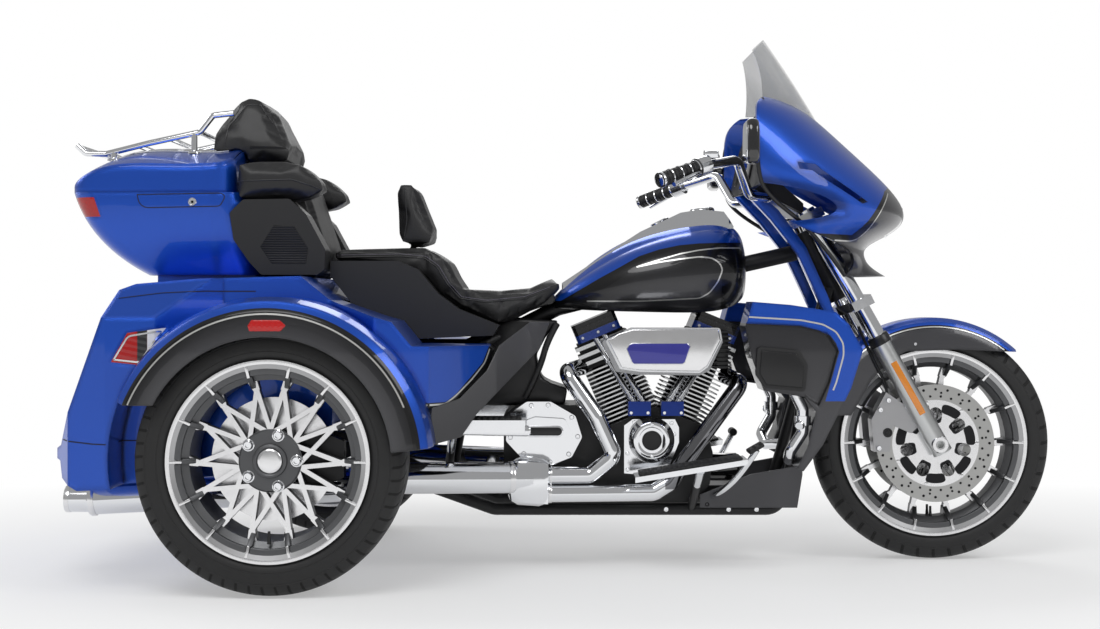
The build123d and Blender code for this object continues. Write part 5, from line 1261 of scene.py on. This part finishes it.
facing = Vector((-1, 0, fairingSettings["dashSlope"])).normalized()
dialFace = Finish("dialFace", (0.01, 0.01, 0.012), roughness=0.35)
nearest = None
for y, z, radius in fairingSettings["dials"]:
    at = dashFace(y, z)
    dy, dz = dialFace.y - y, dialFace.z - z
    reach = (dy * dy + dz * dz).root()
    turn = dz.angleTo(dy) / math.tau
    tick = edged(0.10 - abs((turn * 30 + 30).part() - 0.5), 0, 0.05) * edged(reach - radius * 0.72) * edged(
        radius * 0.88 - reach)
    nearest = tick if nearest is None else nearest.most(tick)
dialFace.feed("Base Color", dialFace.mix(nearest, (0.010, 0.010, 0.012), (0.75, 0.76, 0.78)))
dialFace.feed("Roughness", dialFace.noise(40) * 0.08 + 0.3)
for k, (y, z, radius) in enumerate(fairingSettings["dials"]):
    at = dashFace(y, z)
    face = turned(f"dialFace{k}", [(0.0, 0), (0.003, 0), (0.003, radius - 0.003), (0.0, radius - 0.003)], at, 48, facing, True)
    bezel = turned(f"dialBezel{k}", [(0.0, radius - 0.004), (0.004, radius - 0.0035), (0.007, radius - 0.001),
                                     (0.006, radius + 0.002), (0.0, radius + 0.003)], at, 64, facing)
    needle = strut(f"dialNeedle{k}", at + facing * 0.0045, at + facing * 0.0045 + Vector((0.06, 0.45, 0.5)).normalized()
                   * radius * 0.75, 0.0022, 0.001, (0, 1, 0), 0.0003)
    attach(dress(face, dialFace), "steering")
    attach(dress(bezel, chrome), "steering")
    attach(dress(needle, silverLine), "steering")
screenPanel = strut("dashScreen", dashFace(-0.085, 1.060) + facing * 0.003, dashFace(0.085, 1.060) + facing * 0.003, 0.082,
                    0.007, (fairingSettings["dashSlope"], 0, 1), 0.003)
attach(dress(screenPanel, blackGloss), "steering")
grille = Finish("speakerGrille", (0.012, 0.012, 0.013), metallic=0.4, roughness=0.5)
mesh_ = (grille.y * 1400).wave() * (grille.z * 1400).wave()
grille.feed("Base Color", grille.mix(edged(mesh_, 0.25, 0.3), (0.004, 0.004, 0.004), (0.03, 0.03, 0.032)))
grille.bump(mesh_, 0.6, 0.002)
for label, side in (("Right", -1), ("Left", 1)):
    at = dashFace(side * 0.262, 1.105)
    speaker = turned("dashSpeaker" + label, [(0, 0), (0.005, 0), (0.0035, 0.045), (0.006, 0.052), (0.006, 0.060),
                                             (0, 0.063)], at, 64, facing, True)
    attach(dress(speaker, grille), "steering")

# Headlamp: a dark lens with two bright projectors and a bar of light
lampGlass = Finish("lampGlass", (0.02, 0.021, 0.023), roughness=0.05, coat=1.0)
ringed = None
for y in (-0.062, 0.062):
    dy, dz = lampGlass.y - y, lampGlass.z - 0.925
    reach = (dy * dy + dz * dz).root()
    core = edged(0.021 - reach, 0, 0.002)
    halo = edged(0.0025 - abs(reach - 0.029), 0, 0.001)
    both = core.most(halo)
    ringed = both if ringed is None else ringed.most(both)
barLight = edged(0.004 - abs(lampGlass.z - 0.925), 0, 0.001) * edged(0.022 - abs(lampGlass.y), 0, 0.002)
lit = ringed.most(barLight)
lampGlass.feed("Base Color", lampGlass.mix(lit, (0.02, 0.021, 0.023), (0.86, 0.88, 0.92)))
lampGlass.feed("Roughness", lampGlass.noise(20) * 0.04 + 0.05)
dress("headlamp", lampGlass)
frontSpots = []
for y, z in [(0.119, 0.892), (0.119, 0.958), (0.095, 0.9605), (0.0, 0.9615), (-0.095, 0.9605), (-0.119, 0.958),
             (-0.119, 0.892), (-0.095, 0.8885), (0.0, 0.888), (0.095, 0.8885)]:
    hit, where, normal, _ = nodes["headlamp"].ray_cast(Vector((1.4, y, z)), Vector((-1, 0, 0)))
    if hit:
        frontSpots.append(where + Vector((0.001, 0, 0)))
bezel = pipe("lampBezel", frontSpots, 0.0045, True, True, 8)
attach(dress(bezel, chrome), "steering")

# Mirrors, with their glass to the rider
mirrorGlass = bright("mirrorGlass", (0.82, 0.84, 0.86), 0.03)
mirrorOutline = [(0.424, 1.052), (0.500, 1.047), (0.519, 1.058), (0.523, 1.085), (0.518, 1.140), (0.500, 1.162),
                 (0.440, 1.160), (0.421, 1.146), (0.415, 1.110), (0.416, 1.070)]


def facingPlate(name, outline, x0, x1, bevel):  # outline in (y, z), carried from x0 to x1
    piece = loopOf(name, [(x0, y, z) for y, z in outline])
    bpy.ops.object.mode_set(mode="EDIT")
    bpy.ops.mesh.select_all(action="SELECT")
    bpy.ops.mesh.edge_face_add()
    bpy.ops.mesh.extrude_region_move(TRANSFORM_OT_translate={"value": (x1 - x0, 0, 0)})
    bpy.ops.object.mode_set(mode="OBJECT")
    return rounded(outward(piece), bevel, 4)


def shrunk(outline, share):
    cy = sum(y for y, z in outline) / len(outline)
    cz = sum(z for y, z in outline) / len(outline)
    return [(cy + (y - cy) * share, cz + (z - cz) * share) for y, z in outline]


for label, side in (("Right", -1), ("Left", 1)):
    outline = [(side * y, z) for y, z in mirrorOutline]
    head = facingPlate("mirrorHead" + label, outline, 0.4365, 0.4670, 0.011)
    glass = facingPlate("mirrorGlass" + label, shrunk(outline, 0.86), 0.4345, 0.4375, 0.001)
    stem = pipe("mirrorStem" + label, [(0.4730, side * 0.3970, 1.100), (0.466, side * 0.405, 1.102),
                                       (0.458, side * 0.424, 1.105), (0.452, side * 0.450, 1.106)], 0.0095, sides=12)
    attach(dress(head, blackGloss), "steering")
    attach(dress(glass, mirrorGlass), "steering")
    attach(dress(stem, blackSatin), "steering")
    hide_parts("mirrors")
print("fairing fitted")

# Hand controls: rubber grips, bright housings and levers

gripSettings = {"end": Vector((0.228, -0.452, 1.012)), "start": Vector((0.345, -0.372, 1.054)), "length": 0.120}
gripWay = (gripSettings["end"] - gripSettings["start"]).normalized()
controls = Finish("handControls", (0.012, 0.012, 0.013), metallic=0.2, roughness=0.4)
dx, dy, dz = (controls.x - gripSettings["end"].x, abs(controls.y) * -1 - gripSettings["end"].y,
              controls.z - gripSettings["end"].z)
alongBar = dx * gripWay.x + dy * gripWay.y + dz * gripWay.z
offBar = (dx * dx + dy * dy + dz * dz - alongBar * alongBar).root()
leverZone = edged(offBar - 0.0265)
housingZone = edged(-gripSettings["length"] - 0.0005 - alongBar)
shiny = leverZone.most(housingZone)
ribsUp = (alongBar * 520).wave() * (1 - shiny)
controls.feed("Base Color", controls.mix(shiny, (0.010, 0.010, 0.011), (0.78, 0.79, 0.81)))
controls.feed("Metallic", shiny * 0.9 + 0.1)
controls.feed("Roughness", controls.noise(50) * 0.06 + (0.5 - shiny * 0.4))
controls.bump(ribsUp, 0.6, 0.0015)
dress("hand_controls", controls)
for side, label in ((1, "Right"), (-1, "Left")):
    flip = Matrix.Scale(side, 4, Vector((0, 1, 0)))
    end = flip @ gripSettings["end"]
    way = Vector((gripWay.x, gripWay.y * side, gripWay.z))
    rings = []
    for back, radius, wide in ((0.000, 0.0195, 0.007), (0.030, 0.0198, 0.0035), (0.060, 0.0198, 0.0035),
                               (0.090, 0.0198, 0.0035), (0.117, 0.0215, 0.006)):
        rings.append(turned("gripRing", [(-wide / 2, radius - 0.002), (-wide / 2, radius), (0, radius + 0.001),
                                         (wide / 2, radius), (wide / 2, radius - 0.002)], end - way * back, 32, way))
    rings.append(turned("gripEnd", [(0.003, 0), (0.003, 0.0185), (0.007, 0.0165), (0.0085, 0.010), (0.0085, 0)], end, 32,
                        way, True))
    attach(dress(together("gripRings" + label, rings), chrome), "steering")
    tank = Vector((0.362, -side * 0.352, 1.083))
    reservoir = strut("fluidTank" + label, tank + Vector((0, -side * 0.020, 0)), tank + Vector((0, side * 0.018, 0.004)),
                      0.036, 0.020, (1, 0, 0), 0.004)
    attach(dress(reservoir, chrome), "steering")
    clamp = turned("barClamp" + label, [(-0.012, 0.0130), (-0.012, 0.0185), (0.012, 0.0185), (0.012, 0.0130)],
                   (0.5355, -side * 0.046, 0.990), 32, (0, 1, 0))
    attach(dress(clamp, chrome), "steering")
print("controls fitted")

# Fork: slider caps, amber strip, caliper bolts and the brake line

legSlope = math.tan(math.radians(29.5))
legAt = lambda z, y: Vector((1.0 - legSlope * (z - 0.322), y, z))
legWay = Vector((-legSlope, 0, 1)).normalized()
amber = Finish("amberStrip", (0.75, 0.24, 0.01), roughness=0.2, coat=1.0)
amber.bump((amber.z * 900).wave(), 0.2, 0.0006)
forkFinish = Finish("forkFinish", (0.60, 0.61, 0.61), metallic=1.0, roughness=0.24)
tubeZone = edged(forkFinish.z - 0.603, 0, 0.002)
forkFinish.feed("Base Color", forkFinish.mix(tubeZone * edged(0.80 - forkFinish.z), (0.60, 0.61, 0.61), (0.80, 0.81, 0.83)))
forkFinish.feed("Roughness", forkFinish.noise(60) * 0.08 + (0.26 - tubeZone * 0.18))
dress("fork", forkFinish)
dress("front_calipers", cast("caliperCast", (0.42, 0.42, 0.43), 0.32, 0.9, 800))
for side, label in ((-1, "Right"), (1, "Left")):
    seal = turned("forkSeal" + label, [(-0.010, 0.0268), (-0.010, 0.0300), (0.012, 0.0300), (0.016, 0.0275),
                                       (0.016, 0.0232)], legAt(0.602, side * 0.112), 48, legWay)
    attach(dress(seal, blackSatin), "steering")
    strip = strut("amberStrip" + label, legAt(0.545, side * 0.1385), legAt(0.405, side * 0.1385), 0.018, 0.004,
                  (1, 0, legSlope), 0.0015)
    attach(dress(strip, amber), "steering")
    bolts = [boltHead((x, side * 0.1015, z), r, (0, side, 0), 0.006) for x, z, r in
             ((0.846, 0.414, 0.0075), (0.868, 0.440, 0.0075), (0.842, 0.310, 0.0075), (0.918, 0.424, 0.0085))]
    bolts.append(boltHead((0.945, side * 0.1010, 0.380), 0.0085, (0, side, 0), 0.006))
    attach(dress(together("caliperBolts" + label, bolts), chrome), "steering")
    centreBolt = turned("caliperCap" + label, [(0, 0), (0, 0.013), (0.003, 0.0125), (0.003, 0.0095), (0.001, 0.009),
                                               (0.001, 0.006), (0.003, 0.005), (0.003, 0)],
                        (0.866, side * 0.101, 0.352), 32, (0, side, 0), True)
    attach(dress(centreBolt, blackSatin), "steering")
    brakeLine = pipe("brakeLine" + label, [legAt(0.640, side * 0.080) + Vector((-0.030, 0, 0)),
                                           legAt(0.600, side * 0.082) + Vector((-0.036, 0, 0)),
                                           legAt(0.540, side * 0.086) + Vector((-0.042, 0, 0)),
                                           legAt(0.490, side * 0.088) + Vector((-0.044, 0, 0)),
                                           Vector((0.868, side * 0.090, 0.452))], 0.0042, sides=8)
    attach(dress(brakeLine, blackSatin), "steering")
    fenderBolts = [boltHead((0.866, side * 0.0805, 0.520), 0.006, (0, side, 0)),
                   boltHead((0.945, side * 0.0805, 0.592), 0.005, (0, side, 0))]
    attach(dress(together("fenderBolts" + label, fenderBolts), chrome), "steering")
print("fork trimmed")

# Rear body, top case and lamps

bodySettings = {
    "marker": [(-0.752, 0.664), (-0.686, 0.664), (-0.670, 0.651), (-0.683, 0.637), (-0.757, 0.637), (-0.761, 0.650)],
    "latch": [(-1.120, 0.985), (-0.900, 0.989), (-0.892, 0.980), (-0.905, 0.955), (-1.100, 0.951), (-1.115, 0.962)],
    "lock": (-0.977, 0.966),
    "doorBase": (-1.246, 0.357),
    "doorSlope": (141, 379),
}
markerRed = Finish("markerRed", (0.50, 0.004, 0.004), roughness=0.2, coat=0.3)
markerRed.bump((markerRed.x * 500).wave() * (markerRed.z * 500).wave(), 0.25, 0.0008)
for side, label in ((-1, "Right"), (1, "Left")):
    marker = plate("sideMarker" + label, bodySettings["marker"], side * 0.6935, side * 0.7015, 0.0025, 3)
    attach(dress(marker, markerRed), "chassis")


def skinSpot(nodeName, x, z, side):
    hit, where, normal, _ = nodes[nodeName].ray_cast(Vector((x, side * 1.2, z)), Vector((0, -side, 0)))
    return where, (normal if normal.y * side > 0 else -normal)


# dark lines: real gaps round the latch and at the bumper seam, and painted shade along the body's crease
seamDark = Finish("seamDark", (0.003, 0.006, 0.03), roughness=0.5)
seamDark.feed("Roughness", seamDark.noise(40) * 0.1 + 0.45)
for side, label in ((-1, "Right"), (1, "Left")):
    loop = bodySettings["latch"] + [bodySettings["latch"][0]]
    edgeLine = ribbon("latchSeam" + label, "tour_pack_base", loop, 0.0026, side, 0.0008)
    dress(edgeLine, seamDark)
    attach(edgeLine, "chassis")
    where, normal = skinSpot("tour_pack_base", *bodySettings["lock"], side)
    lock = turned("caseLock" + label, [(-0.003, 0.0115), (0.002, 0.0110), (0.0035, 0.0095), (0.0035, 0.0075), (0.0015, 0.007),
                                       (0.0015, 0)], where, 32, normal, False)
    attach(dress(lock, chrome), "chassis")
# the crease line is painted shade along the rear body's crease; the bumper seam is a real gap
for name, points, node, body in (
        ("bodyCrease", [(-1.10, 0.715), (-1.00, 0.728), (-0.90, 0.733), (-0.78, 0.733)], "rear_body", "chassis"),
        ("bumperSeam", [(-1.235, 0.372), (-1.15, 0.364), (-1.06, 0.362)], "rear_body", "chassis")):
    for side, label in ((-1, "Right"), (1, "Left")):
        line = ribbon(name + label, node, points, 0.003, side, 0.0008)
        dress(line, seamDark)
        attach(line, body)

# Trunk door: handle and a blank plate under its lamp
run, rise = bodySettings["doorSlope"]
long = math.hypot(run, rise)
doorUp, doorIn = Vector((run / long, 0, rise / long)), Vector((rise / long, 0, -run / long))
doorAt = lambda up, inward, y=0.0: (Vector((bodySettings["doorBase"][0], y, bodySettings["doorBase"][1])) + doorUp * up
                                    + doorIn * inward)
plateBack = strut("plateBack", doorAt(0.060, -0.003), doorAt(0.185, -0.003), 0.215, 0.008, (0, 1, 0), 0.003)
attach(dress(plateBack, blackSatin), "trunk_door")
blankWhite = Finish("blankPlate", (0.74, 0.75, 0.76), roughness=0.4)
blankWhite.feed("Roughness", blankWhite.noise(60) * 0.12 + 0.35)
blankPlate = strut("blankPlate", doorAt(0.068, -0.0078), doorAt(0.177, -0.0078), 0.195, 0.003, (0, 1, 0), 0.001)
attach(dress(blankPlate, blankWhite), "trunk_door")
plateLamp = strut("plateLamp", doorAt(0.200, -0.006, -0.045), doorAt(0.200, -0.006, 0.045), 0.020, 0.018, (0.35, 0, 0.94),
                  0.004)
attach(dress(plateLamp, blackSatin), "trunk_door")
handle = pipe("doorHandle", [tuple(doorAt(0.275, 0.004, -0.085)), tuple(doorAt(0.275, -0.014, -0.075)),
                             tuple(doorAt(0.275, -0.020, -0.050)), tuple(doorAt(0.275, -0.020, 0.050)),
                             tuple(doorAt(0.275, -0.014, 0.075)), tuple(doorAt(0.275, 0.004, 0.085))], 0.0065, sides=12)
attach(dress(handle, chrome), "trunk_door")

# Tail lamps: a bright frame round each lens
for side, label in ((-1, "Right"), (1, "Left")):
    frameLine = ribbon("lampFrame" + label, "rear_lamps", [(-1.098, 0.568), (-1.064, 0.624), (-0.984, 0.637),
                                                            (-1.036, 0.561), (-1.098, 0.568)], 0.004, side, 0.0010)
    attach(dress(frameLine, chrome), "chassis")

# Tank console: filler cap and gauge
cap = turned("fillerCap", [(0, 0), (0.010, 0), (0.0105, 0.024), (0.009, 0.030), (0.006, 0.033), (0.001, 0.0345), (0, 0.034)],
             (0.372, 0, 0.9575), 64, (-0.07, 0, 1), True)
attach(dress(cap, chrome), "chassis")
gauge = turned("tankGauge", [(0, 0), (0.003, 0), (0.003, 0.019), (0.006, 0.021), (0.005, 0.025), (0, 0.026)],
               (0.255, 0, 0.9255), 48, (-0.44, 0, 0.9), True)
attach(dress(gauge, blackGloss), "chassis")
gaugeRing = turned("gaugeRing", [(0, 0.022), (0.006, 0.0225), (0.007, 0.0245), (0.005, 0.027), (0, 0.0275)],
                   (0.255, 0, 0.9255), 48, (-0.44, 0, 0.9))
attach(dress(gaugeRing, chrome), "chassis")

# Rack: feet washers; grilles on the speaker pods, and doors on the lower fairings
feet = []
for x, z in ((-1.215, 1.098), (-1.000, 1.128)):
    for side in (-1, 1):
        hit, where, normal, _ = nodes["tour_pack_lid"].ray_cast(Vector((x, side * 0.168, 1.35)), Vector((0, 0, -1)))
        feet.append(turned("rackFoot", [(-0.002, 0.0085), (-0.002, 0.0170), (0.003, 0.0165), (0.006, 0.0125),
                                        (0.007, 0.0085)], where, 32, (0, 0, 1)))
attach(dress(together("rackFeet", feet), chrome), "tour_pack_lid")
for side, label in ((-1, "Right"), (1, "Left")):
    speaker = plate("podGrille" + label, [(-0.765, 0.905), (-0.712, 0.902), (-0.676, 0.845), (-0.682, 0.806), (-0.770, 0.806),
                                          (-0.800, 0.850)], side * 0.3015, side * 0.3060, 0.0015)
    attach(dress(speaker, grille), "chassis")
    door = plate("shieldDoor" + label, [(0.492, 0.583), (0.581, 0.575), (0.601, 0.541), (0.596, 0.487), (0.504, 0.495),
                                        (0.487, 0.524)], side * 0.3480, side * 0.3525, 0.004, 3)
    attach(dress(door, blackSatin), "chassis")
print("body fitted")


# Oil tank with its hoses, and the seat pan, in the dark between the side covers and the rear cylinder
darkSettings = {
    "tank": [(-0.290, 0.425), (-0.010, 0.425), (-0.002, 0.472), (-0.045, 0.486), (-0.072, 0.500), (-0.088, 0.560),
             (-0.062, 0.610), (-0.026, 0.655), (-0.160, 0.665), (-0.290, 0.600)],
    "ridge": [(-0.118, 0.445), (-0.078, 0.522), (-0.058, 0.600), (-0.030, 0.648)],
    "pan": ((-0.215, 0, 0.664), (-0.038, 0, 0.726)),
    "lidPlate": [(-1.225, 0.07), (-1.205, 0.125), (-1.16, 0.150), (-0.93, 0.165), (-0.905, 0.150), (-0.895, 0.0)],
}
tankBox = plate("oilTank", darkSettings["tank"], -0.088, 0.088, 0.010, 3)
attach(dress(tankBox, blackSatin), "chassis")
hoses = [pipe("hose", [(x, side * 0.096, z) for x, z in darkSettings["ridge"]], 0.0085, sides=12) for side in (-1, 1)]
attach(dress(together("tankHoses", hoses), blackMoulded), "chassis")
pan = strut("seatPan", *darkSettings["pan"], 0.150, 0.040, (0, 1, 0), 0.010)
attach(dress(pan, blackSatin), "chassis")
print("oil tank in")

# Bright skin on the top case's lid
half = darkSettings["lidPlate"]
rim = half + [(x, -y) for x, y in reversed(half) if y]
clearChoice()
bpy.ops.mesh.primitive_grid_add(x_subdivisions=44, y_subdivisions=40, size=1)
skinPlate = bpy.context.object
skinPlate.name = "lidPlate"
for vertex in skinPlate.data.vertices:
    across, along = vertex.co.y * 2, vertex.co.x + 0.5
    x = -1.228 + along * 0.332
    reach = next((y0 + (y1 - y0) * (x - x0) / (x1 - x0) for (x0, y0), (x1, y1) in zip(half, half[1:]) if x0 <= x <= x1),
                 half[0][1] if x < half[0][0] else half[-2][1])
    hit, where, normal, _ = nodes["tour_pack_lid"].ray_cast(Vector((x, across * reach, 1.35)), Vector((0, 0, -1)))
    vertex.co = where + Vector((0, 0, 0.0008))
applied(skinPlate, "SOLIDIFY", thickness=0.003, offset=1)
outward(skinPlate)
smooth(skinPlate, 30)
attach(dress(skinPlate, polishedAlloy), "tour_pack_lid")
print("lid plate on")


# Rear body and fenders: their skins' edges rounded, so that the panels flow
skinSettings = {"merge": 1.2, "edge": 0.014, "fold": 8, "smooth": 50}
for nodeName, name, finish in (("rear_body", "bodySkin", bodyPaint), ("rear_fenders", "fenderSkin", rearFenderPaint)):
    skin = copyOf(nodes[nodeName], name, Matrix.Identity(4))
    skin.parent = None
    outward(skin)
    bpy.ops.object.mode_set(mode="EDIT")
    bpy.ops.mesh.select_all(action="SELECT")
    bpy.ops.mesh.dissolve_limited(angle_limit=math.radians(skinSettings["merge"]))
    bpy.ops.object.mode_set(mode="OBJECT")
    print(name, len(skin.data.vertices), len(skin.data.polygons))
    applied(skin, "BEVEL", width=skinSettings["edge"], segments=3, limit_method="ANGLE",
            angle_limit=math.radians(skinSettings["fold"]), miter_outer="MITER_ARC")
    smooth(skin, skinSettings["smooth"])
    applied(skin, "WEIGHTED_NORMAL", keep_sharp=True, weight=90)
    print(name, len(skin.data.vertices), len(skin.data.polygons))
    dress(skin, finish)
    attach(skin, "chassis")
    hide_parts(nodeName)
print("skins rounded")
